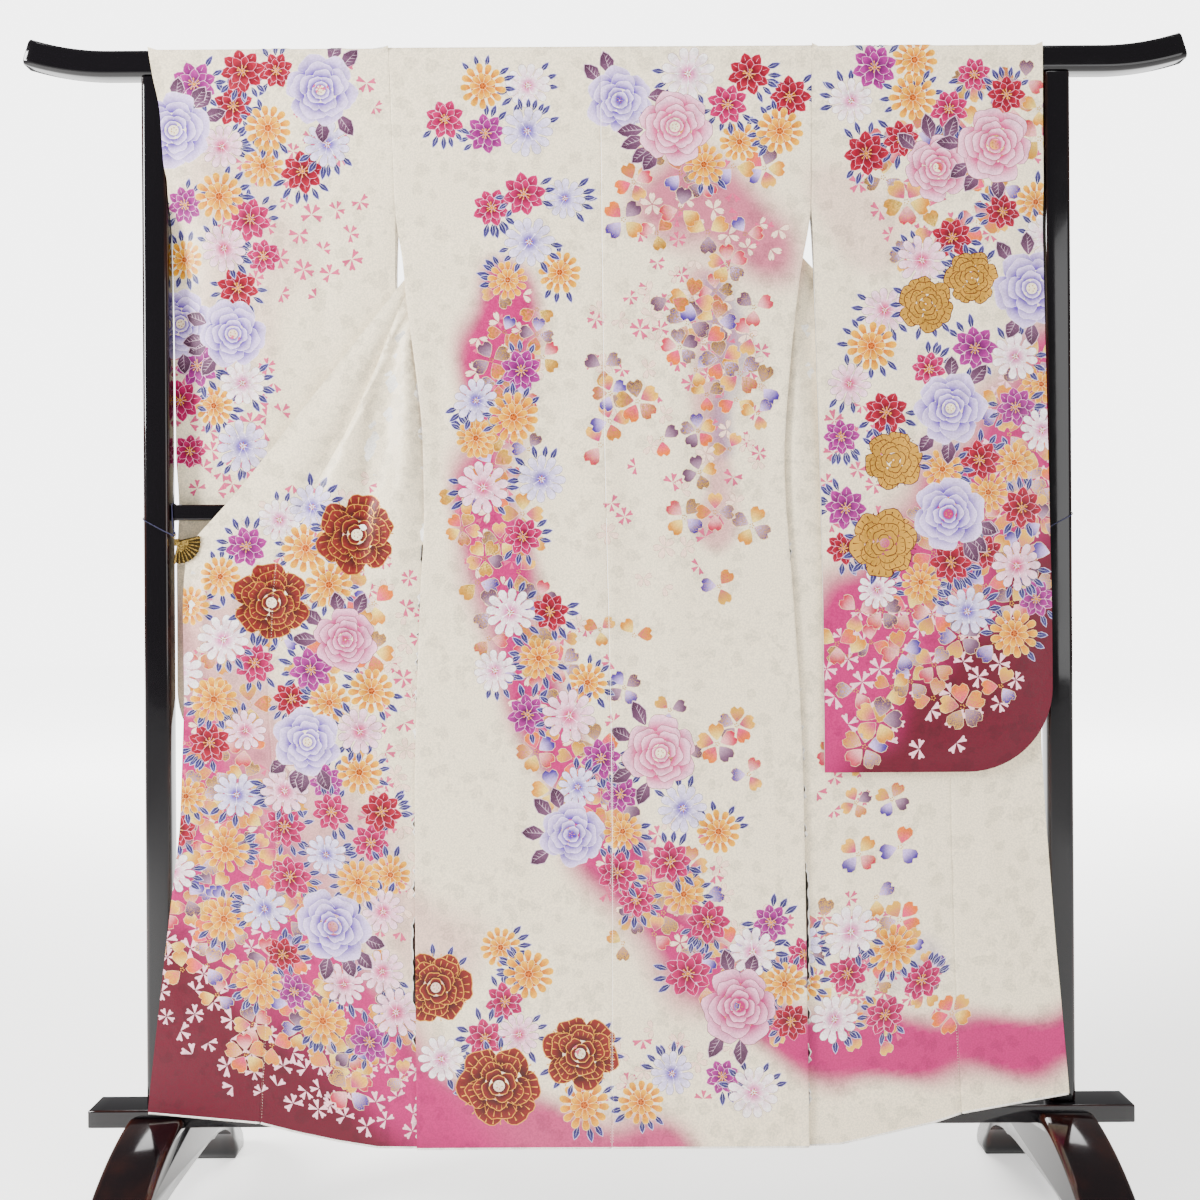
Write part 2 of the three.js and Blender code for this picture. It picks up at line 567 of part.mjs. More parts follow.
function join(geometries) {
  const mesh = geometries.map(toSolid).reduce((whole, piece) => whole.add(piece)).getMesh();
  const geometry = new THREE.BufferGeometry();
  geometry.setAttribute('position', new THREE.BufferAttribute(mesh.vertProperties, 3));
  geometry.setIndex(new THREE.BufferAttribute(mesh.triVerts, 1));
  geometry.computeVertexNormals();
  return geometry;
}

// A flat plate in the X-Z plane between two depths.
function plate(outline, near, far) {
  const shape = new THREE.Shape(outline.map(([x, z]) => new THREE.Vector2(x, z)));
  const solid = new THREE.ExtrudeGeometry(shape, { depth: far - near, bevelEnabled: false });
  return solid.rotateX(Math.PI / 2).translate(0, far, 0);
}

// A clip is a fan-shaped face plate with raised ribs and a plain jaw behind the cloth, joined by a
// spine outside the cloth's edge. Its apex is the origin here.
function clip(side, face, jaw) {
  const { spine, rib } = CLIP;
  const spoke = (degrees, radius, aside = 0) => {
    const angle = THREE.MathUtils.degToRad(degrees);
    return [
      -side * (radius * Math.cos(angle) - aside * Math.sin(angle)),
      radius * Math.sin(angle) + aside * Math.cos(angle),
    ];
  };
  const sector = (radius, steps) => [
    [side * 2, 3], ...Array.from({ length: steps + 1 }, (_, k) => (
      spoke(mix(CLIP.high, CLIP.low, k / steps), radius)
    )), [side * 3, -3],
  ];
  const [front, raised] = [face - CLIP.thick, face - CLIP.thick - rib.raised];
  const spineOutline = roundedRectangle(spine.far - spine.near, spine.high, 1.5, 2)
    .map((p) => [side * (spine.near + spine.far) / 2 + p.x, p.y]);
  const pieces = [
    plate(sector(CLIP.radius, 14), front, face),
    plate(sector(CLIP.jaw, 6), jaw, jaw + CLIP.thick),
    plate(spineOutline, front, jaw + CLIP.thick),
    plate(sector(CLIP.disc, 8), raised, face),
  ];
  for (let k = 0; k < CLIP.ribs; k++) {
    const turn = mix(CLIP.high - 5, CLIP.low + 5, k / (CLIP.ribs - 1));
    const [root, tip] = [CLIP.disc - 2, CLIP.radius - 1];
    const outline = [
      spoke(turn, root, rib.root / 2), spoke(turn, tip, rib.tip / 2),
      spoke(turn, tip, -rib.tip / 2), spoke(turn, root, -rib.root / 2),
    ];
    pieces.push(plate(outline, raised, face - CLIP.thick / 2));
  }
  return join(pieces);
}

// The cord is tied round the post and over the middle rail, both its ends on the clip. The points
// are its centre line: out, back, up.
function cord(side, route) {
  const section = new THREE.Shape(Array.from({ length: CORD.sides }, (_, k) => {
    const angle = (2 * Math.PI * k) / CORD.sides;
    return new THREE.Vector2(Math.cos(angle), Math.sin(angle)).multiplyScalar(CORD.thick / 2);
  }));
  const points = route.map(([out, y, z]) => point(side * out, y, z));
  const extrudePath = new THREE.CatmullRomCurve3(points, false, 'centripetal');
  return new THREE.ExtrudeGeometry(section, { extrudePath, steps: CORD.steps, bevelEnabled: false });
}

// From the post's near face round its outer side, across its back, then forward over the rail.
const aroundPost = [
  [690, -18.3, 1066.5], [698, -17.6, 1071], [702.3, -10, 1074], [702.4, 0, 1077],
  [702.3, 10, 1080], [697.5, 17.5, 1083.5], [690, 18.4, 1087], [672, 18.5, 1092.5],
  [663.7, 17, 1095.6], [659.9, 11.8, 1097], [658.6, 4, 1096.7], [658.5, -5.5, 1096.7],
  [658.4, -9, 1096.3], [658.1, -11.2, 1093.8], [657.9, -11.5, 1088], [657.6, -11.5, 1078],
];

add('clip_left', clip(-1, -23.8, -14.6), brass, -643.3, 0, 1037.2);
add('clip_right', clip(1, -18.1, -11.6), brass, 653.4, 0, 1041);
add('cord_left', cord(-1, [
  [651.6, -22, 1046.4], [656, -20.6, 1049], [661.5, -19.2, 1051.5], [669, -18.4, 1055],
  ...aroundPost, [657, -12.6, 1068], [653.4, -17, 1054], [651.2, -19, 1047.4],
]), braid);
add('cord_right', cord(1, [
  [658.7, -18.6, 1048], [661.4, -18.8, 1050.4], [669, -18.6, 1055.5],
  ...aroundPost, [657.7, -12.2, 1068], [658, -13.2, 1056], [657.7, -14, 1048],
]), braid);

export default group;
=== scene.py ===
# A furisode, the long-sleeved kimono, spread over its black lacquer stand with its printed back to
# the front (-Y). The lengths in the sections are in millimetres unless they say otherwise, and are
# turned to metres where a mesh is made.

import math

import bpy
import numpy as np
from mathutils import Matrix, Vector
from mathutils.geometry import delaunay_2d_cdt


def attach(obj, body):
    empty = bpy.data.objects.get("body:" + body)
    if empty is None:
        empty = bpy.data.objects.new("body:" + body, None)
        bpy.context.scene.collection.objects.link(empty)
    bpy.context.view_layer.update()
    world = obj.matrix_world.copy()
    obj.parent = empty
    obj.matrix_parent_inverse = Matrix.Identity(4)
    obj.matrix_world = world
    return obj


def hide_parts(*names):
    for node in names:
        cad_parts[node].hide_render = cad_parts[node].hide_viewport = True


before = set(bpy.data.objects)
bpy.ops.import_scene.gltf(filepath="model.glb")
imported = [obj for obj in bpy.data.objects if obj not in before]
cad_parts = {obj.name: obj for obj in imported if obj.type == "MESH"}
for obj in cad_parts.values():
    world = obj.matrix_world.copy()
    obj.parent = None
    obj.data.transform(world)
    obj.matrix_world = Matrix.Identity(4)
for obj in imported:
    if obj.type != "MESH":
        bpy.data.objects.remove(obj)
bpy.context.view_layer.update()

# ---- Camera -----------------------------------------------------------------------------------
# A studio camera on a tripod at half the stand's height, square to the spread garment.

camera = bpy.data.objects.new("camera", bpy.data.cameras.new("camera"))
camera.data.lens = 40
camera.data.sensor_width = 36
camera.location = (-0.0125, -2.025, 0.947)
camera.rotation_euler = (math.radians(90), math.radians(0.34), 0)
bpy.context.scene.collection.objects.link(camera)
bpy.context.scene.camera = camera

# ---- Cords ------------------------------------------------------------------------------------
# Thin navy cords of braided silk, tied round each post over the middle rail. Both ends of a cord
# are knotted to the ring of a clip, so that the clip can't fall when it is let go.


def hex_colour(code):
    """A colour code as the linear red, green and blue that shaders use."""
    parts = [int(code[k:k + 2], 16) / 255 for k in (0, 2, 4)]
    return [((p + 0.055) / 1.055) ** 2.4 if p > 0.04 else p / 12.92 for p in parts]


def new_material(name, colour, roughness, metallic=0.0):
    made = bpy.data.materials.new(name)
    made.use_nodes = True
    shader = made.node_tree.nodes["Principled BSDF"]
    shader.inputs["Base Color"].default_value = (*hex_colour(colour), 1)
    shader.inputs["Roughness"].default_value = roughness
    shader.inputs["Metallic"].default_value = metallic
    return made, made.node_tree.nodes, made.node_tree.links, shader


def add_bump(nodes, links, shader, height, strength, distance):
    bump = nodes.new("ShaderNodeBump")
    bump.inputs["Strength"].default_value = strength
    bump.inputs["Distance"].default_value = distance
    links.new(height, bump.inputs["Height"])
    links.new(bump.outputs["Normal"], shader.inputs["Normal"])


def add_noise(nodes, links, scale, detail=2.0, stretch=(1, 1, 1)):
    place = nodes.new("ShaderNodeTexCoord")
    turn = nodes.new("ShaderNodeMapping")
    turn.inputs["Scale"].default_value = stretch
    noise = nodes.new("ShaderNodeTexNoise")
    noise.inputs["Scale"].default_value = scale
    noise.inputs["Detail"].default_value = detail
    links.new(place.outputs["Object"], turn.inputs["Vector"])
    links.new(turn.outputs["Vector"], noise.inputs["Vector"])
    return noise.outputs["Fac"]


def add_ramp(nodes, links, source, low, high, start, end):
    """Turns a mask into values: start below low, end above high."""
    ramp = nodes.new("ShaderNodeMapRange")
    ramp.interpolation_type = "SMOOTHSTEP"
    for name, value in (("From Min", low), ("From Max", high), ("To Min", start), ("To Max", end)):
        ramp.inputs[name].default_value = value
    links.new(source, ramp.inputs["Value"])
    return ramp.outputs["Result"]


braid, nodes, links, shader = new_material("navy braid", "1B1A3C", 0.75)
strands = add_noise(nodes, links, 1500, 1, (1, 1, 0.5))
add_bump(nodes, links, shader, strands, 0.6, 0.0003)

around_post = [
    (690, -18.3, 1066.5), (698, -17.6, 1071), (702.3, -10, 1074), (702.4, 0, 1077),
    (702.3, 10, 1080), (697.5, 17.5, 1083.5), (690, 18.4, 1087), (672, 18.5, 1092.5),
    (663.7, 17, 1095.6), (659.9, 11.8, 1097), (658.6, 4, 1096.7), (658.5, -5.5, 1096.7),
    (658.4, -9, 1096.3), (658.1, -11.2, 1093.8), (657.9, -11.5, 1088), (657.6, -11.5, 1078),
]
cord_routes = {
    "left": (-1, [
        (651.6, -22, 1046.4), (656, -20.6, 1049), (661.5, -19.2, 1051.5), (669, -18.4, 1055),
        *around_post, (657, -12.6, 1068), (653.4, -17, 1054), (651.2, -19, 1047.4),
    ]),
    "right": (1, [
        (658.7, -18.6, 1048), (661.4, -18.8, 1050.4), (669, -18.6, 1055.5),
        *around_post, (657.7, -12.2, 1068), (658, -13.2, 1056), (657.7, -14, 1048),
    ]),
}


def smooth_route(points, share=8):
    """A centripetal curve through the points, share steps to each stretch."""
    points = np.array(points, float)
    ends = np.vstack([2 * points[0] - points[1], points, 2 * points[-1] - points[-2]])
    found = []
    for a, b, c, d in zip(ends, ends[1:], ends[2:], ends[3:]):
        knots = np.cumsum([0] + [np.linalg.norm(q - p) ** 0.5 for p, q in ((a, b), (b, c), (c, d))])
        for t in np.linspace(knots[1], knots[2], share, endpoint=False):
            def between(p, q, i, j):
                whole = knots[j] - knots[i]
                return p * (knots[j] - t) / whole + q * (t - knots[i]) / whole
            ab, bc, cd = between(a, b, 0, 1), between(b, c, 1, 2), between(c, d, 2, 3)
            found.append(between(between(ab, bc, 0, 2), between(bc, cd, 1, 3), 1, 2))
    return np.array(found + [points[-1]])


def on_part(name, data):
    """An object that rides on the part."""
    piece = bpy.data.objects.new(name, data)
    bpy.context.scene.collection.objects.link(piece)
    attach(piece, "root")
    return piece


def braided(name, path, radius, resolution):
    """A round braid along a path in metres."""
    curve = bpy.data.curves.new(name, "CURVE")
    curve.dimensions = "3D"
    curve.bevel_depth = radius
    curve.bevel_resolution = resolution
    curve.use_fill_caps = True
    spline = curve.splines.new("POLY")
    spline.points.add(len(path) - 1)
    for spot, place in zip(spline.points, path):
        spot.co = (*place, 1)
    curve.materials.append(braid)
    return on_part(name, curve)


KNOT_TURNS = np.linspace(0, 3.5 * 2 * math.pi, 43)
for side, (sign, route) in cord_routes.items():
    path = smooth_route(route) * (sign, 1, 1) / 1000
    cord = braided(f"cord_{side}_braid", path, 0.0008, 2)
    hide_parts(f"cord_{side}")
    knots = []
    for end, (start, ahead) in (("first", (path[0], path[6])), ("last", (path[-1], path[-7]))):
        along = (ahead - start) / np.linalg.norm(ahead - start)
        side_on = np.cross(along, (0, 0, 1))
        side_on /= np.linalg.norm(side_on)
        over = np.cross(side_on, along)
        coil = [start + along * (0.0012 + turn * 0.00022)
                + 0.0014 * (math.cos(turn) * side_on + math.sin(turn) * over) for turn in KNOT_TURNS]
        knots.append(braided(f"cord_{side}_{end}_knot", coil, 0.0007, 4).name)

# ---- Stand ------------------------------------------------------------------------------------
# Seven pieces of joined wood under many coats of black lacquer, rubbed down and polished. Along the
# arrises a red-brown glint is painted into the colour, broken up with noise.

lacquer, nodes, links, shader = new_material("black lacquer", "060507", 0.1)
shader.inputs["Specular IOR Level"].default_value = 0.3
shader.inputs["Coat Weight"].default_value = 0.25
shader.inputs["Coat Roughness"].default_value = 0.04
# Painted reflection: a red-brown glint mixed into the base colour along the marked arrises, made patchy by
# noise.
arris_glint = nodes.new("ShaderNodeAttribute")
arris_glint.attribute_name = "arris_glint"
tint = nodes.new("ShaderNodeMix")
tint.data_type = "RGBA"
tint.inputs["A"].default_value = (*hex_colour("070508"), 1)
tint.inputs["B"].default_value = (*hex_colour("3A1A10"), 1)
glint_amount = nodes.new("ShaderNodeMath")
glint_amount.operation = "MULTIPLY"
links.new(arris_glint.outputs["Fac"], glint_amount.inputs[0])
links.new(add_ramp(nodes, links, add_noise(nodes, links, 14, 3), 0.4, 0.7, 0.2, 1), glint_amount.inputs[1])
links.new(glint_amount.outputs["Value"], tint.inputs["Factor"])
links.new(tint.outputs["Result"], shader.inputs["Base Color"])
links.new(add_ramp(nodes, links, add_noise(nodes, links, 9, 4), 0.3, 0.75, 0.07, 0.16),
          shader.inputs["Roughness"])
add_bump(nodes, links, shader, add_noise(nodes, links, 60, 1), 0.05, 0.0006)


def new_piece(name, points, faces, material, smooth=True):
    """A mesh object from points in millimetres, riding on the part."""
    mesh = bpy.data.meshes.new(name)
    mesh.from_pydata((np.asarray(points, float) / 1000).tolist(), [], faces)
    mesh.materials.append(material)
    mesh.polygons.foreach_set("use_smooth", [smooth] * len(mesh.polygons))
    mesh.update()
    return on_part(name, mesh)


def mark(piece, name, values):
    found = piece.data.attributes.new(name, "FLOAT", "POINT")
    found.data.foreach_set("value", np.asarray(values, np.float32))


def rounded(wide, high, corner, steps=6):
    """Points round a rectangle with round corners."""
    spots = []
    for quarter, (sx, sy) in enumerate(((1, 1), (-1, 1), (-1, -1), (1, -1))):
        for k in range(steps + 1):
            angle = (quarter + k / steps) * math.pi / 2
            spots.append((sx * (wide / 2 - corner) + corner * math.cos(angle),
                          sy * (high / 2 - corner) + corner * math.sin(angle)))
    return spots


def loft(name, rings, material, marks=None):
    """A closed solid through rings of equal count."""
    count = len(rings[0])
    points = [p for ring in rings for p in ring]
    faces = []
    for r in range(len(rings) - 1):
        for k in range(count):
            a, b = r * count + k, r * count + (k + 1) % count
            faces.append((a, b, b + count, a + count))
    faces.append(tuple(range(count))[::-1])
    faces.append(tuple((len(rings) - 1) * count + k for k in range(count)))
    piece = new_piece(name, points, faces, material)
    if signed_volume(piece.data) < 0:
        piece.data.flip_normals()
    if marks is not None:
        mark(piece, "arris_glint", marks)
    return piece


def signed_volume(mesh):
    total = 0.0
    for face in mesh.polygons:
        corners = [mesh.vertices[v].co for v in face.vertices]
        for b, c in zip(corners[1:], corners[2:]):
            total += corners[0].dot(b.cross(c))
    return total


def lacquer_bar(name, wide, high, corner, along, ends, place):
    """A straight bar with rounded arrises: "along" gives the point at a distance and offset."""
    steps = [ends[0], ends[0] + 0.6, ends[0] + 2, *np.linspace(ends[0] + 20, ends[1] - 20, 12),
             ends[1] - 2, ends[1] - 0.6, ends[1]]
    rings = []
    for k, at in enumerate(steps):
        inset = {0: 2.0, 1: 0.6, len(steps) - 1: 2.0, len(steps) - 2: 0.6}.get(k, 0.0)
        section = rounded(wide - 2 * inset, high - 2 * inset, max(corner - inset, 0.5))
        rings.append([along(at, u, v) for u, v in section])
    # Painted glint at half strength along the middle of each rounded arris.
    arris_glint_marks = []
    for ring in rings:
        for k in range(len(ring)):
            arris_glint_marks.append(0.5 if k % 7 in (2, 3, 4) else 0.0)
    piece = loft(name, rings, lacquer, arris_glint_marks)
    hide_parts(place)
    return piece


for side, sign in (("left", -1), ("right", 1)):
    lacquer_bar(f"post_{side}_lacquer", 40, 34, 8, lambda at, u, v, s=sign: (s * 681 + u, v, at),
                (187.3, 1740.7), f"post_{side}")
lacquer_bar("rail_middle_lacquer", 20, 24, 3, lambda at, u, v: (at, u, 1083 + v),
            (-660.7, 660.7), "rail_middle")
lacquer_bar("beam_lacquer", 60, 27, 3, lambda at, u, v: (at, u, 173.5 + v), (-784, 784), "beam")

# The top rail sweeps up at its ends, which are cut square to the sweep.
rings = []
stations = [-1, -0.996, -0.985, *np.linspace(-0.9, 0, 12), *np.linspace(0, 0.9, 12), 0.985, 0.996, 1]
for k, t in enumerate(stations):
    sign = -1 if k < len(stations) / 2 else 1
    slope = math.atan2(2 * 19 * abs(t), 123)
    inset = {0: 2.5, 1: 0.8, len(stations) - 1: 2.5, len(stations) - 2: 0.8}.get(k, 0.0)
    rings.append([
        (sign * (750 + 123 * abs(t) - v * math.sin(slope)), u, 1761 + 19 * t * t + v * math.cos(slope))
        for u, v in rounded(36 - 2 * inset, 40 - 2 * inset, 8)
    ])
rail = loft("rail_top_lacquer", rings, lacquer, [0.0] * (len(rings) * len(rings[0])))
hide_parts("rail_top")


# Each foot is sawn from a plank 84 mm thick: its back falls in a curve to two toes, its underside
# is cut to an arch with a cusp, and its crown is slotted for the beam.
def foot_outline(bevel):
    def back(y):
        return 177 - 140 * (y / 290) ** 2 - bevel

    def under(y):
        return 89 * math.sqrt(max(0.0, 1 - (y / 245) ** 4))

    half = [(30.3, 159.7), (30.3, back(30.3))]
    half += [(y, back(y)) for y in np.linspace(36, 290, 40)]
    half += [(295, 32 - bevel), (298, 23 - bevel), (299.6, 17 - bevel / 2), (300, 11 - bevel / 2),
             (299, 4), (297, 0)]
    half += [(245 - inset, under(245 - inset)) for inset in (0, 1, 4, 9, 17, 28, 42, 60, 80, 100)]
    half += [(130, under(120) - 3), (124, under(120) - 4), (112, under(120)), (90, under(90)),
             (60, under(60)), (30, under(30))]
    return half + [(-y, z) for y, z in reversed(half)]


for side, sign in (("left", -1), ("right", 1)):
    rings, marks = [], []
    # Painted glint: full on the bevels, weaker at the edges of the flat faces, none on the lowest 12 mm.
    for x, bevel, glint in ((-42, 9, 0), (-41.4, 6, 1), (-39.4, 3, 1), (-36.5, 0.9, 1), (-33, 0, 0.3),
                            (33, 0, 0.3), (36.5, 0.9, 1), (39.4, 3, 1), (41.4, 6, 1), (42, 9, 0)):
        rings.append([(sign * 681 + x, y, z) for y, z in foot_outline(bevel)])
        marks += [glint if z > 12 else 0 for y, z in foot_outline(bevel)]
    foot = loft(f"foot_{side}_lacquer", rings, lacquer, marks)
    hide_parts(f"foot_{side}")

# ---- Print on the silk ------------------------------------------------------------------------
# The flowers are drawn on the white silk before it is sewn, each petal filled inside a thin line of
# resist or gold. They are charted here on the spread garment, and run on from panel to panel.

PETALS = {
    "round": ([(0, 0.10), (0.3, 0.8), (0.65, 1), (0.92, 0.55)], 1.0),
    "pointed": ([(0, 0.10), (0.2, 0.6), (0.48, 1), (0.8, 0.6)], 1.0),
    "slim": ([(0, 0.42), (0.6, 1), (0.88, 0.78), (0.98, 0.3)], 1.0),
    "notched": ([(0, 0.08), (0.3, 0.66), (0.6, 1), (0.85, 0.86), (1, 0.4)], 0.84),
    "wedge": ([(0, 0.06), (0.5, 0.55), (0.9, 1), (1, 0.62)], 0.86),
}


def petal(kind, length, half):
    """A petal's outline along +X from its root."""
    side, tip = PETALS[kind]
    top = [(length * t, half * h) for t, h in side if h > 0]
    return np.array(top + [(length * tip, 0)] + [(x, -y) for x, y in reversed(top)])


class Sheet:
    """The charted print of one panel: outlines in the order in which they are laid down."""

    def __init__(self, seed, fields=()):
        self.shapes = []
        self.fields = fields
        self.chance = np.random.default_rng(seed)

    def lay(self, outline, centre, turn, inner, outer, reach, foil=0.0, start=0.0):
        c, s = math.cos(turn), math.sin(turn)
        placed = outline @ np.array([[c, s], [-s, c]]) + centre
        self.shapes.append((placed, np.array(centre), start, reach, inner, outer, foil))


def petals(sheet, at, count, kind, length, half, turn, inner, outer, line, width=1.0, root=0.0,
           skip=(), foil=0.0):
    """A ring of petals, each over a slightly larger one in the colour of its outline."""
    for k in range(count):
        if k in skip:
            continue
        way = turn + 2 * math.pi * (k + sheet.chance.uniform(-0.08, 0.08)) / count
        size = sheet.chance.uniform(0.92, 1.05)
        shape = petal(kind, length * size, half)
        shape[:, 0] += root
        if line is not None:
            grown = petal(kind, length * size + 1.6 * width, half + width)
            grown[:, 0] += root - 0.8 * width
            sheet.lay(grown, at, way, line, line, length)
        sheet.lay(shape, at, way, inner, outer, length * size + root, foil, root)


def dots(sheet, at, count, reach, size, colour, foil=0.0):
    for k in range(count):
        way = 2 * math.pi * k / count + sheet.chance.uniform(-0.2, 0.2)
        far = reach * sheet.chance.uniform(0.7, 1)
        thread = np.array([(0, -size * 0.22), (far, -size * 0.22), (far, size * 0.22), (0, size * 0.22)])
        knob = np.array([(-0.4, -0.5), (0.6, -0.5), (0.9, 0), (0.6, 0.5), (-0.4, 0.5)]) * size + (far, 0)
        sheet.lay(thread if size > 1.85 else knob, at, way, colour, colour, 1, foil)
        sheet.lay(knob, at, way, colour, colour, 1, foil)


def leaves(sheet, at, reach, turn, count=3, spread=0.5, size=1.0, kind="slate"):
    """Small dark leaves, or broad mauve ones with pale veins, round a flower's edge."""
    for k in range(count):
        way = turn + spread * (k - (count - 1) / 2) + sheet.chance.uniform(-0.08, 0.08)
        spot = at + (reach * 0.86) * np.array((math.cos(way), math.sin(way)))
        if kind == "slate":
            long, half = 21 * size * sheet.chance.uniform(0.85, 1.1), 4.3 * size
            sheet.lay(petal("pointed", long + 1.4, half + 0.8), spot, way, PALE_LILAC, PALE_LILAC, 1)
            sheet.lay(petal("pointed", long, half), spot, way, SLATE, SLATE_LIGHT, long)
            rib = np.array([(2, -0.35), (long * 0.85, 0), (2, 0.35)])
            sheet.lay(rib, spot, way, PALE_LILAC, PALE_LILAC, 1)
        else:
            long, half = 36 * size * sheet.chance.uniform(0.85, 1.1), 11 * size
            sheet.lay(petal("pointed", long + 1.6, half + 0.9), spot, way, PALE_MAUVE, PALE_MAUVE, 1)
            sheet.lay(petal("pointed", long, half), spot, way, MAUVE, MAUVE_DARK, long)
            rib = np.array([(2, -0.5), (long * 0.92, 0), (2, 0.5)])
            sheet.lay(rib, spot, way, PALE_MAUVE, PALE_MAUVE, 1)
            for v in (0.2, 0.36, 0.52, 0.68):
                for flip in (-1, 1):
                    tip = half * 0.8 * (1 - abs(v - 0.4)) * flip
                    vein = np.array([(long * v, -0.3), (long * (v + 0.17), tip), (long * v + 0.5, 0.3)])
                    sheet.lay(vein, spot, way, PALE_MAUVE, PALE_MAUVE, 1)


def tone(*codes):
    """Dyes by their swatch. Silk drinks them in, so each is mixed deeper than its swatch."""
    return [np.array(hex_colour(code)) ** 2 for code in codes]


SLATE, SLATE_LIGHT, PALE_LILAC = tone("5A5484", "8078AC", "DCD8EC")
MAUVE, MAUVE_DARK, PALE_MAUVE = tone("A4849C", "84647C", "E4D0DC")
IVORY, PINK_CLOUD, CRIMSON = tone("F8F0DF", "D2509E", "96005A")
GOLD, GOLD_DEEP = tone("F0C458", "C8943C")

# Each colourway: the root of a petal, its edge and the line round it.
ROSES = {
    "pink": tone("D050A0", "F8D4E4", "A06A60"),
    "lilac": tone("8C5CC8", "ECE0F8", "F4EEF8"),
    "blush": tone("DA60A4", "FADCE8", "B07C70"),
    "gilt": tone("C08034", "F2CC70", "8A3018"),
    "russet": tone("7A3C3A", "AE5E58", "E8B468"),
}
STARS = {
    "magenta": tone("9A0860", "D83C98", "F6CCE0"),
    "wine": tone("8A0848", "C81C6A", "F4C0D0"),
    "orchid": tone("8C2C88", "C860B4", "F4D0E4"),
}
DAISIES = {
    "pink": tone("E060A8", "FCE8F0", "A07870"),
    "lilac": tone("9068D0", "F2ECFA", "8C84A0"),
    "white": tone("E898C8", "FEFBFA", "C89AAE"),
}


def rose(sheet, x, z, size, colour):
    """Five rings of broad overlapping petals, pale at the edge and deep at the root."""
    deep, pale, line = ROSES[colour]
    at = np.array((x, z), float)
    foil = {"gilt": 1.0, "russet": 0.15}.get(colour, 0.0)
    line_foil = 0.6 if colour == "russet" else 0
    turn = sheet.chance.uniform(0, 2)
    for ring, (share, count, wide) in enumerate(
            ((1.0, 6, 0.62), (0.8, 5, 0.7), (0.6, 5, 0.7), (0.41, 4, 0.85), (0.24, 3, 1.1))):
        reach = size * share
        for k in range(count):
            way = turn + 2 * math.pi * (k + 0.5 * (ring % 2)) / count + sheet.chance.uniform(-0.12, 0.12)
            spread = wide * sheet.chance.uniform(0.9, 1.1)
            angles = np.linspace(-spread, spread, 11)
            frill = 1 + 0.035 * np.sin(angles * 9 + sheet.chance.uniform(0, 6)) \
                + sheet.chance.uniform(-0.02, 0.02, 11)
            edge = reach * frill * (1 - 0.3 * np.abs(angles / spread) ** 3)
            edge = edge * sheet.chance.uniform(0.95, 1.04)
            fan = np.stack([edge * np.cos(angles), edge * np.sin(angles)], 1)
            width = 1.3 if colour in ("gilt", "russet") else 0.8
            grown = fan * (1 + width / reach)
            root = np.stack([np.cos(angles[::-2]), np.sin(angles[::-2])], 1)
            root = root * (reach * 0.6 if reach > 12 else 1)
            sheet.lay(np.vstack([root, grown]), at, way, line, line, 1, line_foil)
            sheet.lay(np.vstack([root, fan]), at, way, deep, pale, reach, foil, reach * 0.6)
            if colour in ("gilt", "russet") and ring < 3:
                for b in np.linspace(-spread * 0.7, spread * 0.7, 5):
                    near, far = reach * sheet.chance.uniform(0.72, 0.84), reach * 0.95
                    hatch = np.array([(near * math.cos(b), near * math.sin(b)),
                                      (far * math.cos(b + 0.02), far * math.sin(b + 0.02)),
                                      (far * math.cos(b - 0.02), far * math.sin(b - 0.02))])
                    sheet.lay(hatch, at, way, line, line, 1, line_foil)
        turn += 0.4
    dots(sheet, at, 5, size * 0.08, 1.6, GOLD_DEEP, 0.5)


def disc(sheet, at, radius, colour):
    turns = np.arange(12) * math.pi / 6
    sheet.lay(np.stack([np.cos(turns), np.sin(turns)], 1) * radius, at, 0.0, colour, colour, 1)


def star(sheet, x, z, size, colour):
    """A many-petalled bloom with pale outlines, ribs and yellow stamens."""
    deep, light, line = STARS[colour]
    at = np.array((x, z), float)
    turn = sheet.chance.uniform(0, 2)
    disc(sheet, at, size * 0.5, deep)
    petals(sheet, at, 8, "pointed", size * 0.66, size * 0.27, turn, deep, light, line, 0.8, size * 0.34)
    petals(sheet, at, 7, "pointed", size * 0.6, size * 0.21, turn + 0.4, deep, light, line, 0.7, size * 0.1)
    for k in range(8):
        way = turn + 2 * math.pi * k / 8
        rib = np.array([(size * 0.66, -0.35), (size * 0.9, 0), (size * 0.66, 0.35)])
        sheet.lay(rib, at, way, line, line, 1)
    dots(sheet, at, 8, size * 0.26, 1.9, GOLD, 0.3)


def daisy(sheet, x, z, size, colour):
    """A pale bloom of long petals, coloured at the heart."""
    deep, light, line = DAISIES[colour]
    at = np.array((x, z), float)
    turn = sheet.chance.uniform(0, 2)
    disc(sheet, at, size * 0.5, light)
    petals(sheet, at, 12, "slim", size * 0.58, size * 0.17, turn, 0.4 * deep + 0.6 * light, light, line,
           0.6, size * 0.42)
    petals(sheet, at, 8, "pointed", size * 0.56, size * 0.13, turn + 0.2, deep, light, None,
           root=size * 0.08)
    dots(sheet, at, 5, size * 0.12, 2, GOLD_DEEP, 0.3)


def mum(sheet, x, z, size):
    """A golden chrysanthemum with two rows of petals."""
    inner, outer, line = tone("DE9C30", "F6D050", "FCEEC0")
    at = np.array((x, z), float)
    turn = sheet.chance.uniform(0, 2)
    disc(sheet, at, size * 0.55, inner)
    petals(sheet, at, 13, "slim", size * 0.48, size * 0.145, turn, inner, outer, line, 0.6,
           size * 0.52, foil=0.25)
    petals(sheet, at, 9, "slim", size * 0.42, size * 0.125, turn + 0.2, inner, outer, line, 0.5,
           size * 0.16, foil=0.25)
    dots(sheet, at, 5, size * 0.1, 1.8, tone("A8440F")[0])


CHERRY = [tone(*pair) for pair in (
    ("D8407C", "F8D0D0"), ("7850B4", "E8D8F8"), ("E4B040", "F8E8A8"), ("94748C", "CCB4C4"),
    ("ECA440", "EC74A8"), ("F4D47C", "DC68A8"),
)]


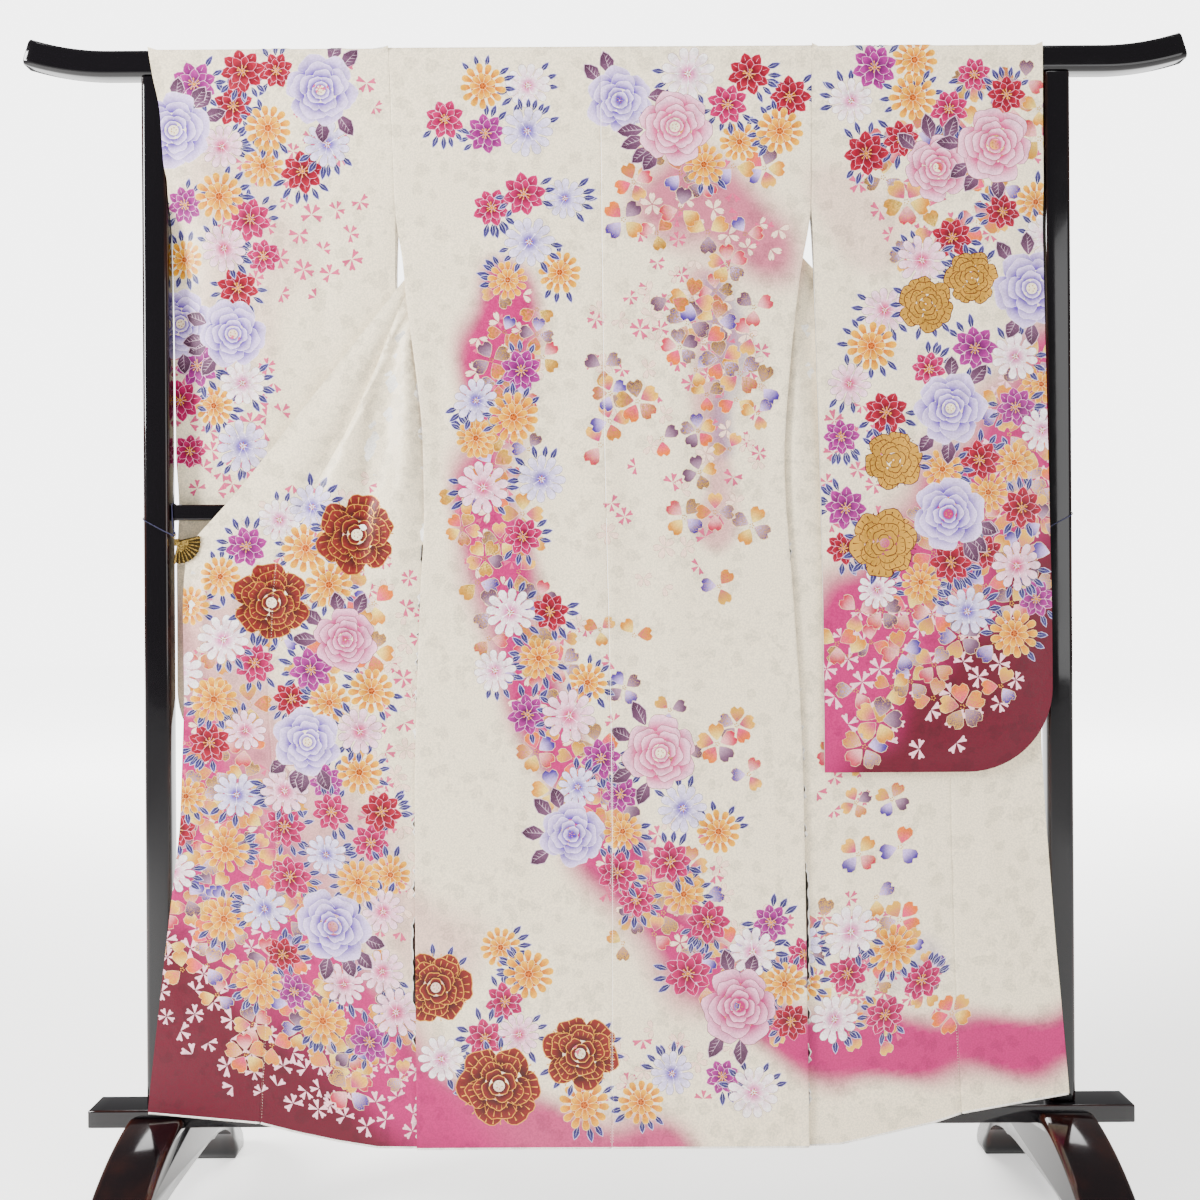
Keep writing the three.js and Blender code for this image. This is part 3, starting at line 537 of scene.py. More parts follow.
def cherry(sheet, x, z, size, whole=3):
    """Loose notched petals, each shaded its own way and dusted with gold, round a gold heart."""
    at = np.array((x, z), float)
    turn = sheet.chance.uniform(0, 6)
    line = tone("F4E2C4")[0]
    for k in range(5):
        if k >= whole:
            continue
        tip, root = CHERRY[sheet.chance.integers(len(CHERRY))]
        way = turn + 2 * math.pi * k / 5 * (5 / max(whole, 3) if whole < 5 else 1)
        grown = petal("notched", size * 0.84 + 1.2, size * 0.4 + 0.7) + (size * 0.2 - 0.6, 0)
        sheet.lay(grown, at, way, line, line, 1)
        shape = petal("notched", size * 0.84, size * 0.4) + (size * 0.2, 0)
        dusted = float(sheet.chance.choice([0.0, 0.35, 0.55]))
        sheet.lay(shape, at, way, root, tip, size, dusted, size * 0.25)
    dots(sheet, at, 5, size * 0.1, 1.7, GOLD_DEEP, 0.8)


def sprig(sheet, x, z, size, colour, whole=5):
    """A little blossom of wedge-shaped petals in one flat colour."""
    at = np.array((x, z), float)
    turn = sheet.chance.uniform(0, 6)
    for k in range(whole):
        way = turn + 2 * math.pi * k / 5 + sheet.chance.uniform(-0.1, 0.1)
        sheet.lay(petal("wedge", size * sheet.chance.uniform(0.8, 1), size * 0.3) + (1, 0), at, way,
                  colour, colour, 1)


def outline_blossom(sheet, x, z, size, whole=5):
    """A little blossom in pale peach inside a fine brown line."""
    at = np.array((x, z), float)
    line, fill = tone("D0A898", "FAE8DC")
    petals(sheet, at, 5, "notched", size, size * 0.28, sheet.chance.uniform(0, 6), fill, fill, line, 0.55,
           1.5, range(whole, 5))


def scatter(sheet, kind, count, centre, reach, tilt=0.0, gap=14.0, **facts):
    """Strews one kind over a tilted oval, keeping a gap between neighbours."""
    taken = []
    c, s = math.cos(tilt), math.sin(tilt)
    for _ in range(count * 12):
        if len(taken) >= count:
            break
        r, a = math.sqrt(sheet.chance.uniform()), sheet.chance.uniform(0, 2 * math.pi)
        u, v = reach[0] * r * math.cos(a), reach[1] * r * math.sin(a)
        x, z = centre[0] + u * c - v * s, centre[1] + u * s + v * c
        if all((x - p) ** 2 + (z - q) ** 2 > gap * gap for p, q in taken):
            taken.append((x, z))
            size = facts["size"] * sheet.chance.uniform(0.82, 1.12)
            rest = {k: v for k, v in facts.items() if k != "size"}
            if "whole" in rest:
                rest["whole"] = int(sheet.chance.integers(2, rest["whole"] + 1))
            kind(sheet, x, z, size, **rest)


# Soft clouds of colour, brushed into the damp silk under the flowers: the path that each follows,
# its half width, its colour and its depth. Below and outside the slanting lines the silk is dyed
# full pink, and then crimson.
CLOUDS = [
    ([(-150, 1420), (-172, 1250), (-188, 1100), (-150, 920), (-105, 800), (-60, 700), (-12, 575),
      (60, 470), (138, 380), (215, 320), (362, 258), (557, 232), (690, 214)], 46, PINK_CLOUD, 1.0),
    ([(150, 1424), (158, 1250), (166, 1060)], 24, PINK_CLOUD, 0.55),
    ([(110, 1560), (160, 1530), (230, 1480)], 62, PINK_CLOUD, 0.85),
    ([(170, 1420), (182, 1300), (176, 1180)], 22, tone("8C62B8")[0], 0.5),
    ([(360, 1560), (400, 1500)], 50, PINK_CLOUD, 0.25),
    ([(-575, 1560), (-530, 1480), (-590, 1350)], 70, PINK_CLOUD, 0.22),
    ([(-590, 900), (-560, 780), (-600, 660)], 70, PINK_CLOUD, 0.55),
    ([(-470, 640), (-400, 560)], 80, PINK_CLOUD, 0.5),
    ([(-330, 480), (-260, 420)], 60, PINK_CLOUD, 0.35),
    ([(400, 405), (450, 380)], 40, tone("A98FD0")[0], 0.35),
    ([(-330, 210), (-200, 160), (-60, 136), (70, 122)], 54, PINK_CLOUD, 0.95),
]
SLEEVE_FIELD = [((655, 1412), (0.758, -0.652), 0, 75, PINK_CLOUD),
                ((655, 1412), (0.758, -0.652), 195, 275, CRIMSON)]
HEM_FIELD = [((-630, 877), (-0.838, -0.546), -30, 80, PINK_CLOUD),
             ((-657, 707), (-0.629, -0.777), 165, 260, CRIMSON)]


def ground_colour(x, z, fields):
    """The silk's own dyed colour at each place."""
    colour = np.tile(IVORY, (len(x), 1))
    wobble = 14 * np.sin(x / 61 + 1.3) * np.cos(z / 47) + 8 * np.sin(x / 23 + z / 31)
    for path, half, dye, deep in CLOUDS:
        near = np.full(len(x), 1e9)
        for (ax, az), (bx, bz) in zip(path, path[1:]):
            long = (bx - ax) ** 2 + (bz - az) ** 2
            t = np.clip(((x - ax) * (bx - ax) + (z - az) * (bz - az)) / long, 0, 1)
            near = np.minimum(near, np.hypot(x - ax - t * (bx - ax), z - az - t * (bz - az)))
        strength = deep * soft((half * 1.55 + wobble - near) / half)
        colour += strength[:, None] * (dye - colour)
    for (px, pz), (nx, nz), begin, full, dye in fields:
        depth = (x - px) * nx + (z - pz) * nz + wobble
        colour += soft((depth - begin) / (full - begin))[:, None] * (dye - colour)
    return colour


def soft(t):
    t = np.clip(t, 0, 1)
    return t * t * (3 - 2 * t)


# ---- Silk -------------------------------------------------------------------------------------
# Figured satin, dull flowers woven into a bright ground, so the light breaks on it in small grains.
# That sheen is painted into the colour: the ground and the bright grains are lighter, the figure darker.
# Gold leaf and gold dust are laid over some of the petals.

figure = bpy.data.node_groups.new("woven figure", "ShaderNodeTree")
figure.interface.new_socket("Vector", in_out="INPUT", socket_type="NodeSocketVector")
figure.interface.new_socket("Figure sheen", in_out="OUTPUT", socket_type="NodeSocketFloat")
figure.interface.new_socket("Grain and sparkle", in_out="OUTPUT", socket_type="NodeSocketFloat")
inside, outside = figure.nodes.new("NodeGroupInput"), figure.nodes.new("NodeGroupOutput")
blooms = figure.nodes.new("ShaderNodeTexVoronoi")
blooms.inputs["Scale"].default_value = 34
blooms.inputs["Randomness"].default_value = 0.85
stems = figure.nodes.new("ShaderNodeTexNoise")
stems.inputs["Scale"].default_value = 70
stems.inputs["Detail"].default_value = 2
grain_and_sparkle = figure.nodes.new("ShaderNodeTexNoise")
grain_and_sparkle.inputs["Scale"].default_value = 420
grain_and_sparkle.inputs["Detail"].default_value = 1.5
both = figure.nodes.new("ShaderNodeMath")
both.operation = "ADD"
edge = add_ramp(figure.nodes, figure.links, both.outputs["Value"], 0.78, 0.92, 0, 1)
for texture in (blooms, stems, grain_and_sparkle):
    figure.links.new(inside.outputs["Vector"], texture.inputs["Vector"])
figure.links.new(blooms.outputs["Distance"], both.inputs[0])
figure.links.new(stems.outputs["Fac"], both.inputs[1])
figure.links.new(edge, outside.inputs["Figure sheen"])
figure.links.new(grain_and_sparkle.outputs["Fac"], outside.inputs["Grain and sparkle"])


def silk_material(name, printed):
    made, nodes, links, shader = new_material(name, "EBE6DB", 0.45)
    shader.inputs["Sheen Weight"].default_value = 0.08
    shader.inputs["Sheen Roughness"].default_value = 0.4
    shader.inputs["Specular IOR Level"].default_value = 0.3
    place = nodes.new("ShaderNodeTexCoord")
    woven = nodes.new("ShaderNodeGroup")
    woven.node_tree = figure
    links.new(place.outputs["Object"], woven.inputs["Vector"])
    # Painted sheen: the figure and the grain scale the base colour, lighter where the satin catches the
    # light and darker where it is dull.
    light = nodes.new("ShaderNodeMath")
    light.operation = "ADD"
    links.new(add_ramp(nodes, links, woven.outputs["Figure sheen"], 0, 1, 0.88, 1.03), light.inputs[0])
    links.new(add_ramp(nodes, links, woven.outputs["Grain and sparkle"], 0.38, 0.64, -0.13, 0.09), light.inputs[1])
    shade = nodes.new("ShaderNodeVectorMath")
    shade.operation = "SCALE"
    links.new(light.outputs["Value"], shade.inputs["Scale"])
    rough = add_ramp(nodes, links, woven.outputs["Grain and sparkle"], 0.4, 0.65, 0.32, 0.6)
    if printed:
        dye = nodes.new("ShaderNodeAttribute")
        dye.attribute_name = "print"
        links.new(dye.outputs["Color"], shade.inputs["Vector"])
        leaf = nodes.new("ShaderNodeAttribute")
        leaf.attribute_name = "foil"
        dust = nodes.new("ShaderNodeMath")
        dust.operation = "ADD"
        links.new(leaf.outputs["Fac"], dust.inputs[0])
        links.new(add_noise(nodes, links, 900, 0), dust.inputs[1])
        metal = add_ramp(nodes, links, dust.outputs["Value"], 0.98, 1.04, 0, 0.85)
        gild = nodes.new("ShaderNodeMix")
        gild.data_type = "RGBA"
        gild.inputs["B"].default_value = (*hex_colour("D9A441"), 1)
        links.new(metal, gild.inputs["Factor"])
        links.new(shade.outputs["Vector"], gild.inputs["A"])
        links.new(gild.outputs["Result"], shader.inputs["Base Color"])
        links.new(metal, shader.inputs["Metallic"])
    else:
        shade.inputs[0].default_value = hex_colour("EEE9E0")
        links.new(shade.outputs["Vector"], shader.inputs["Base Color"])
    links.new(rough, shader.inputs["Roughness"])
    height = nodes.new("ShaderNodeMath")
    height.operation = "ADD"
    links.new(woven.outputs["Grain and sparkle"], height.inputs[0])
    links.new(add_ramp(nodes, links, add_noise(nodes, links, 22, 4), 0.3, 0.7, 0, 3), height.inputs[1])
    add_bump(nodes, links, shader, height.outputs["Value"], 0.35, 0.0005)
    return made


printed_silk = silk_material("printed silk", True)
plain_silk = silk_material("plain silk", False)


def cut_in_squares(outline, spots, shapes, low, high, fine):
    """Cuts a panel along every printed outline, a small square at a time, and joins the squares.

    Gives the points, the triangles, and the number of the topmost shape on each, 0 being bare silk.
    """
    side = 6 * fine
    outline = turned_left(outline)
    boxes = np.array([[*s[0].min(0), *s[0].max(0)] for s in shapes]).reshape(-1, 4)
    places, faces, tops, start = [], [], [], 0
    for y in np.arange(low[1], high[1], side):
        for x in np.arange(low[0], high[0], side):
            square = clip_to_square(outline, x, y, side)
            if len(square) < 3:
                continue
            steps = np.arange(1, 6) * fine
            rim = np.vstack([np.stack([x + steps, steps * 0 + y + k * side], 1) for k in (0, 1)]
                            + [np.stack([steps * 0 + x + k * side, y + steps], 1) for k in (0, 1)])
            own = spots[np.all((spots > (x, y)) & (spots < (x + side, y + side)), 1)]
            rim = rim[inside_outline(rim, outline, 1.0)]
            here = [k for k in range(len(shapes)) if boxes[k][0] < x + side and boxes[k][2] > x
                    and boxes[k][1] < y + side and boxes[k][3] > y]
            corners = np.vstack([square, own, rim] + [turned_left(shapes[k][0]) for k in here])
            rings, first = [list(range(len(square)))], len(square) + len(own) + len(rim)
            for k in here:
                rings.append(list(range(first, first + len(shapes[k][0]))))
                first += len(shapes[k][0])
            found = delaunay_2d_cdt([Vector(p) for p in corners.tolist()], [], rings, 1, 1e-5)
            own_faces = [face for face, made in zip(found[2], found[5]) if 0 in made and len(face) == 3]
            if not own_faces:
                continue
            points = np.array([tuple(p) for p in found[0]])
            centres = points[np.array(own_faces)].mean(1)
            top = np.zeros(len(centres), int)
            for k in here:
                top[within(centres, shapes[k][0])] = k + 1
            faces.append(np.array(own_faces) + start)
            tops.append(top)
            places.append(points)
            start += len(points)
    places, faces, tops = np.vstack(places), np.vstack(faces), np.concatenate(tops)
    _, first, same = np.unique(np.round(places, 3), axis=0, return_index=True, return_inverse=True)
    faces = same.reshape(-1)[faces]
    rows = np.sort(faces, 1)
    _, single = np.unique(rows, axis=0, return_index=True)
    single.sort()
    whole = single[(rows[single, 0] != rows[single, 1]) & (rows[single, 1] != rows[single, 2])]
    return places[first], faces[whole], tops[whole]


def turned_left(ring):
    """A ring of places, run anticlockwise."""
    area = np.sum(ring[:, 0] * np.roll(ring[:, 1], -1) - ring[:, 1] * np.roll(ring[:, 0], -1))
    return ring if area > 0 else ring[::-1]


def clip_to_square(outline, x, y, side):
    """The part of an outline inside a square."""
    found = [tuple(p) for p in outline]
    for axis, limit, sign in ((0, x, 1), (0, x + side, -1), (1, y, 1), (1, y + side, -1)):
        points, found = found, []
        for p, q in zip(points, points[1:] + points[:1]):
            a, b = sign * (p[axis] - limit), sign * (q[axis] - limit)
            if a >= 0:
                found.append(p)
            if (a > 0 > b) or (a < 0 < b):
                t = a / (a - b)
                cut = [p[0] + t * (q[0] - p[0]), p[1] + t * (q[1] - p[1])]
                cut[axis] = limit
                found.append(tuple(cut))
        if not found:
            return []
    kept = [p for k, p in enumerate(found) if math.dist(p, found[k - 1]) > 1e-4]
    return kept


def printed_cloth(name, outline, lay, sheet, thick, seams=(), fine=11.0, folded=None):
    """A shell of cloth: the printed face, cut into every petal, over a plain lining.

    outline is the panel's edge in the chart, and lay gives the middle of the cloth in millimetres
    for places in the chart.
    """
    outline = np.asarray(outline, float)
    low, high = outline.min(0), outline.max(0)
    rows = np.arange(low[1] + fine / 2, high[1], fine * 0.87)
    spots = []
    for k, v in enumerate(rows):
        across = np.arange(low[0] + fine * (0.25 + 0.5 * (k % 2)), high[0], fine)
        spots.append(np.stack([across, np.full(len(across), v)], 1))
    spots = np.vstack(spots)
    spots = spots[inside_outline(spots, outline, fine * 0.3)]
    if len(seams):
        spots = np.vstack([spots, np.asarray(seams)])
    spots = spots + 0.013 * np.sin(spots[:, ::-1] * 7.7)
    shapes = sheet.shapes
    where, triangles, top = cut_in_squares(outline, spots, shapes, low, high, fine)
    flat = where[triangles]
    turned = np.cross(flat[:, 1] - flat[:, 0], flat[:, 2] - flat[:, 0]) < 0
    triangles[turned] = triangles[turned][:, ::-1]

    corner_place = where[triangles].reshape(-1, 2)
    colour = ground_colour(*(folded(corner_place) if folded else corner_place).T, sheet.fields)
    foil = np.zeros(len(corner_place))
    corner_top = np.repeat(top, 3)
    order = np.argsort(corner_top, kind="stable")
    bounds = np.searchsorted(corner_top[order], np.arange(1, len(shapes) + 2))
    for k, (_, centre, begin, reach, inner, outer, gilt) in enumerate(shapes):
        mine = order[bounds[k]:bounds[k + 1]]
        if not len(mine):
            continue
        t = soft((np.hypot(*(corner_place[mine] - centre).T) - begin) / max(reach - begin, 1e-6))
        colour[mine] = inner + t[:, None] * (outer - inner)
        foil[mine] = gilt

    used, triangles = np.unique(triangles, return_inverse=True)
    triangles = triangles.reshape(-1, 3)
    where = where[used]
    loop = edge_loop(where, triangles, outline)
    lining_spots = spots[::3]
    ring = where[loop]
    ring = turned_left(ring)
    inner_mesh = delaunay_2d_cdt([Vector(p) for p in np.vstack([ring, lining_spots]).tolist()], [],
                                 [list(range(len(ring)))], 1, 1e-4)
    inner_where = np.array([tuple(p) for p in inner_mesh[0]])
    inner_faces = np.array([f for f, made in zip(inner_mesh[2], inner_mesh[5]) if made])
    flat = inner_where[inner_faces]
    turned = np.cross(flat[:, 1] - flat[:, 0], flat[:, 2] - flat[:, 0]) > 0
    inner_faces[turned] = inner_faces[turned][:, ::-1]

    face_points, face_normals = laid(lay, where, thick / 2)
    inner_points, inner_normals = laid(lay, inner_where, -thick / 2)
    near_ring = {tuple(np.round(p, 3)): k for k, p in enumerate(inner_where)}
    partner = [near_ring.get(tuple(np.round(p, 3)), -1) for p in where[loop]]
    base = len(face_points)
    rim = []
    for k in range(len(loop)):
        a, b = loop[k], loop[(k + 1) % len(loop)]
        c, d = partner[(k + 1) % len(loop)], partner[k]
        if c >= 0 and d >= 0:
            rim.append((b, a, base + d, base + c))
    mesh = bpy.data.meshes.new(name)
    mesh.from_pydata((np.vstack([face_points, inner_points]) / 1000).tolist(), [],
                     triangles.tolist() + (inner_faces + base).tolist() + rim)
    mesh.materials.append(printed_silk)
    mesh.materials.append(plain_silk)
    kind = np.zeros(len(mesh.polygons), int)
    kind[len(triangles):len(triangles) + len(inner_faces)] = 1
    mesh.polygons.foreach_set("material_index", kind)
    mesh.polygons.foreach_set("use_smooth", np.ones(len(mesh.polygons), bool))
    dye = mesh.color_attributes.new("print", "FLOAT_COLOR", "CORNER")
    values = np.ones((len(mesh.loops), 4), np.float32)
    values[:, :3] = IVORY
    values[:len(colour), :3] = colour
    dye.data.foreach_set("color", values.ravel())
    gilt = mesh.attributes.new("foil", "FLOAT", "CORNER")
    foil_values = np.zeros(len(mesh.loops), np.float32)
    foil_values[:len(foil)] = foil
    gilt.data.foreach_set("value", foil_values)
    normals = np.vstack([face_normals, -inner_normals])
    mesh.normals_split_custom_set_from_vertices(normals.tolist())
    mesh.update()
    return on_part(name, mesh)


def laid(lay, where, off):
    """The cloth's points, moved off its middle, and the directions out of its face."""
    u, v = where[:, 0], where[:, 1]
    step = 0.8
    middle = lay(u, v)
    along = lay(u + step, v) - lay(u - step, v)
    up = lay(u, v + step) - lay(u, v - step)
    out = np.cross(along, up)
    out /= np.maximum(np.linalg.norm(out, axis=1, keepdims=True), 1e-9)
    return middle + out * off, out


def within(spots, ring):
    """Which spots lie inside a ring of places."""
    x, y = spots.T
    ax, ay = np.asarray(ring).T[:, :, None]
    bx, by = np.roll(ring, -1, 0).T[:, :, None]
    crosses = (ay > y) != (by > y)
    lean = (bx - ax) * (y - ay) / np.where(ay == by, 1, by - ay) + ax
    return np.sum(crosses & (x < lean), 0) % 2 == 1


def inside_outline(spots, outline, margin):
    """Which spots lie inside an outline, and further than the margin from its edge."""
    x, y = spots.T
    near = np.full(len(spots), 1e9)
    for (ax, ay), (bx, by) in zip(outline, np.roll(outline, -1, 0)):
        long = max((bx - ax) ** 2 + (by - ay) ** 2, 1e-9)
        t = np.clip(((x - ax) * (bx - ax) + (y - ay) * (by - ay)) / long, 0, 1)
        near = np.minimum(near, np.hypot(x - ax - t * (bx - ax), y - ay - t * (by - ay)))
    return within(spots, outline) & (near > margin)


def edge_loop(where, triangles, outline):
    """The points that lie on a panel's outline, in order along it."""
    edges = np.vstack([triangles[:, [0, 1]], triangles[:, [1, 2]], triangles[:, [2, 0]]]).astype(np.int64)
    ahead, behind = edges[:, 0] * len(where) + edges[:, 1], edges[:, 1] * len(where) + edges[:, 0]
    open_ends = np.unique(edges[~np.isin(ahead, behind)])
    spots = where[open_ends]
    near, along, run = np.full(len(spots), 1e9), np.zeros(len(spots)), 0.0
    for a, b in zip(outline, np.roll(outline, -1, 0)):
        long = max(np.hypot(*(b - a)), 1e-9)
        t = np.clip(((spots - a) @ (b - a)) / long ** 2, 0, 1)
        off = np.hypot(*(spots - a - t[:, None] * (b - a)).T)
        along = np.where(off < near, run + t * long, along)
        near = np.minimum(near, off)
        run += long
    on_edge = near < 0.005
    return open_ends[on_edge][np.argsort(along[on_edge])]


def from_table(table, column, place, key=0):
    """A smooth curve through one column of a table, by its key column."""
    rows = sorted(table, key=lambda row: row[key])
    keys = np.array([row[key] for row in rows], float)
    values = np.array([row[column] for row in rows], float)
    slopes = np.diff(values) / np.diff(keys)
    ends = np.zeros(len(keys))
    same = slopes[:-1] * slopes[1:] > 0
    ends[1:-1][same] = 2 * slopes[:-1][same] * slopes[1:][same] / (slopes[:-1] + slopes[1:])[same]
    ends[0], ends[-1] = slopes[0], slopes[-1]
    place = np.clip(np.asarray(place, float), keys[0], keys[-1])
    k = np.clip(np.searchsorted(keys, place) - 1, 0, len(keys) - 2)
    h = keys[k + 1] - keys[k]
    t = (place - keys[k]) / h
    return (values[k] * (1 + 2 * t) * (1 - t) ** 2 + ends[k] * h * t * (1 - t) ** 2
            + values[k + 1] * t * t * (3 - 2 * t) + ends[k + 1] * h * t * t * (t - 1))


def crease(x, z, path, wide, deep):
    """A soft ridge, or a trough where deep is below 0, along a path that fades at both ends."""
    near = np.full(len(x), 1e9)
    share = np.zeros(len(x))
    lengths = [math.hypot(b[0] - a[0], b[1] - a[1]) for a, b in zip(path, path[1:])]
    before = 0.0
    for (a, b), long in zip(zip(path, path[1:]), lengths):
        t = np.clip(((x - a[0]) * (b[0] - a[0]) + (z - a[1]) * (b[1] - a[1])) / long ** 2, 0, 1)
        away = np.hypot(x - a[0] - t * (b[0] - a[0]), z - a[1] - t * (b[1] - a[1]))
        closer = away < near
        near[closer] = away[closer]
        share[closer] = (before + t[closer] * long) / sum(lengths)
        before += long
    return 1.7 * deep * np.exp(-(near / wide) ** 2) * np.sin(np.pi * np.clip(share, 0.02, 0.98)) ** 0.6


# The way over the top rail, as depth and height for the length of cloth above its near edge.
OVER_START = 1773.0
over_arc = 9.3 * math.pi / 2
OVER_LONG = 2 * over_arc + 20


def over_rail(v):
    s = np.asarray(v, float) - OVER_START
    first = np.clip(s / over_arc, 0, 1) * math.pi / 2
    flat = np.clip(s - over_arc, 0, 20)
    last = np.clip((s - over_arc - 20) / over_arc, 0, 1) * math.pi / 2
    y = -10 - 9.3 * np.cos(first) + flat + 9.3 * np.sin(last)
    z = OVER_START + 9.3 * np.sin(first) - 9.3 * (1 - np.cos(last)) - np.maximum(0, s - OVER_LONG)
    return y, np.where(s < 0, v, z)


# ---- Back -------------------------------------------------------------------------------------
# Two loom widths of silk, sewn together down the middle of the back. They run from the hem up over
# the rail to the shoulder, with a tuck at the waist that takes in the spare length.

CENTRE = [(131, 0.6), (647, 3.7), (1247, -4.7), (1783, -7.5)]
BACK_DEPTH = [(131, -38.5), (187, -38.5), (600, -30), (1083, -24.5), (1430, -22), (1577, -20.5),
              (1742, -19.3)]
SIDE = {
    "left": [(1783, 326), (1655, 322), (1535, 317), (1448, 305), (1409, 302), (1286, 286.5),
             (1189, 277.5), (1072, 276), (958, 282), (757, 289.5), (649, 291.8), (131, 290.4)],
    "right": [(1783, 311), (1655, 310), (1540, 308), (1430, 290.4), (1290, 274.5), (1155, 265.5),
              (1127, 266), (954, 277), (794, 286.6), (672, 290.4), (131, 294.7)],
}
TUCK = 1426
BACK_CREASES = [
    ([(-250, 700), (-170, 690), (-80, 660)], 9, -0.9), ([(-262, 640), (-180, 622), (-90, 628)], 8, -0.7),
    ([(-240, 585), (-150, 560)], 9, -0.6), ([(-255, 1340), (-250, 1200), (-258, 1060)], 12, -1.0),
    ([(252, 1360), (240, 1200), (236, 1080)], 13, -1.0),
    ([(-120, 1000), (-118, 700), (-124, 320)], 14, -0.5),
    ([(120, 1020), (126, 700), (118, 340)], 15, -0.5), ([(-270, 1096), (0, 1092), (262, 1096)], 10, 0.5),
    ([(-250, 300), (-60, 282), (200, 300)], 12, -0.5), ([(40, 560), (160, 540), (270, 556)], 10, -0.6),
    ([(-285, 1640), (-180, 1610), (-60, 1622)], 12, -0.4),
    ([(60, 1650), (180, 1632), (300, 1660)], 12, -0.4),
    ([(-200, 900), (-120, 840), (-60, 830)], 12, -0.5), ([(80, 900), (170, 860), (250, 880)], 12, -0.5),
]


def back_edges(side, v):
    z = np.minimum(v, 1783)
    sign = -1 if side == "left" else 1
    return from_table(CENTRE, 1, z) + sign * 0.15, sign * from_table(SIDE[side], 1, z)


def back_lay(side):
    sign = -1 if side == "left" else 1

    def lay(x, v):
        centre, edge = back_edges(side, v)
        y, z = over_rail(v)
        t = (x - centre) / (edge - centre)
        below = from_table(BACK_DEPTH, 1, np.minimum(v, 1742))
        ripple = 2.2 * np.sin(t * 9 + sign) * soft((0.55 - t) / 0.15) * soft(t / 0.15) \
            * soft((z - 250) / 500) * soft((1500 - z) / 300)
        y = np.where(v < OVER_START, below + ripple, y)
        for path, wide, deep in BACK_CREASES:
            y = y - crease(x, v, path, wide, deep) * (v < 1760)
        y = y - 0.9 * soft((v - TUCK) / 2.5) * soft((TUCK + 90 - v) / 80)
        seam = np.minimum(np.abs(x - centre), np.abs(edge - x))
        y = y + 0.7 * np.clip(1 - seam / 3, 0, 1) ** 2 * (v < 1742)
        return np.stack([x + 0 * y, y, z], 1)
    return lay


def strip_outline(edges, low, high, step=9.0):
    """The outline of a strip between two edges, and rows of points just inside its sewn edges."""
    v = np.linspace(low, high, int((high - low) / step))
    a, b = edges(v)
    ends = [np.linspace(a[0], b[0], 42)[1:-1], np.linspace(b[-1], a[-1], 42)[1:-1]]
    outline = list(zip(a[:1], v[:1])) + [(x, low) for x in ends[0]] + list(zip(b, v)) \
        + [(x, high) for x in ends[1]] + list(zip(a[:0:-1], v[:0:-1]))
    way = np.sign(b - a)
    inner = v[1:-1]
    seams = [np.stack([edge[1:-1] + way[1:-1] * off, inner], 1)
             for edge, offs in ((a, (1.2, 2.8)), (b, (-1.2, -2.8))) for off in offs]
    return outline, np.vstack(seams)


sheet = Sheet(11, HEM_FIELD)
# Small things first, then the blooms over them.
PINK_FLAT, PALE_FLAT = tone("E48CAC", "FADCE2")
for centre, reach, tilt, count in (((150, 1520), (120, 95), 0, 26), ((-150, 1300), (46, 130), 0, 20),
                                   ((-175, 1060), (52, 130), 0, 18), ((60, 1330), (100, 120), 0, 26),
                                   ((190, 1250), (50, 180), 0, 24), ((-60, 820), (90, 110), 0.5, 18),
                                   ((60, 560), (110, 90), -0.6, 20), ((190, 420), (110, 80), -0.5, 16),
                                   ((80, 1060), (90, 120), 0, 14), ((60, 250), (150, 60), 0, 16)):
    scatter(sheet, sprig, count // 2, centre, reach, tilt, 26, size=14, colour=PINK_FLAT, whole=5)
    scatter(sheet, outline_blossom, count // 2, centre, reach, tilt, 30, size=15, whole=5)
for centre, reach, tilt, count in (((130, 1560), (120, 90), 0, 12), ((-140, 1330), (50, 100), 0, 9),
                                   ((-165, 1100), (62, 150), 0, 16), ((-120, 880), (60, 90), 0.4, 9),
                                   ((175, 1300), (60, 160), 0, 17), ((40, 1300), (90, 150), 0, 8),
                                   ((150, 1050), (70, 90), 0, 5), ((60, 880), (80, 130), 0, 4),
                                   ((-40, 690), (80, 90), 0.5, 9), ((80, 480), (90, 80), -0.6, 9),
                                   ((210, 380), (90, 70), -0.4, 9), ((150, 700), (90, 90), 0, 4)):
    scatter(sheet, cherry, count, centre, reach, tilt, 34, size=29, whole=5)
# The blooms of a bed, in the order in which they are strewn: each kind, its radius and its colourways.
MIXES = {
    "full": [(rose, 54, ("pink", "lilac", "blush")), (star, 32, tuple(STARS)), (mum, 33, ()),
             (daisy, 36, tuple(DAISIES)), (star, 30, tuple(STARS))],
    "gilded": [(rose, 46, ("gilt",)), (star, 32, tuple(STARS)), (mum, 34, ()),
               (rose, 56, ("pink", "lilac")), (daisy, 34, tuple(DAISIES)), (star, 30, tuple(STARS))],
    "russet": [(rose, 55, ("russet",)), (mum, 34, ()), (daisy, 36, tuple(DAISIES)),
               (star, 29, tuple(STARS))],
    "light": [(daisy, 36, tuple(DAISIES)), (star, 30, tuple(STARS)), (mum, 34, ())],
}


def plant(sheet, beds):
    """Strews blooms over tilted ovals, so that none covers more than the rim of its neighbour."""
    blooms = []
    for centre, reach, tilt, mix, count in beds:
        c, s = math.cos(tilt), math.sin(tilt)
        for k in range(count):
            kind, size, colours = MIXES[mix][k % len(MIXES[mix])]
            size *= sheet.chance.uniform(0.85, 1.12)
            for _ in range(60):
                r, a = math.sqrt(sheet.chance.uniform()), sheet.chance.uniform(0, 2 * math.pi)
                u, v = reach[0] * r * math.cos(a), reach[1] * r * math.sin(a)
                x, z = centre[0] + u * c - v * s, centre[1] + u * s + v * c
                if all(math.hypot(x - b[1], z - b[2]) > 0.8 * (size + b[3]) for b in blooms):
                    pick = (colours[sheet.chance.integers(len(colours))],) if colours else ()
                    blooms.append((kind, x, z, size, pick))
                    break
    place_blooms(sheet, blooms)


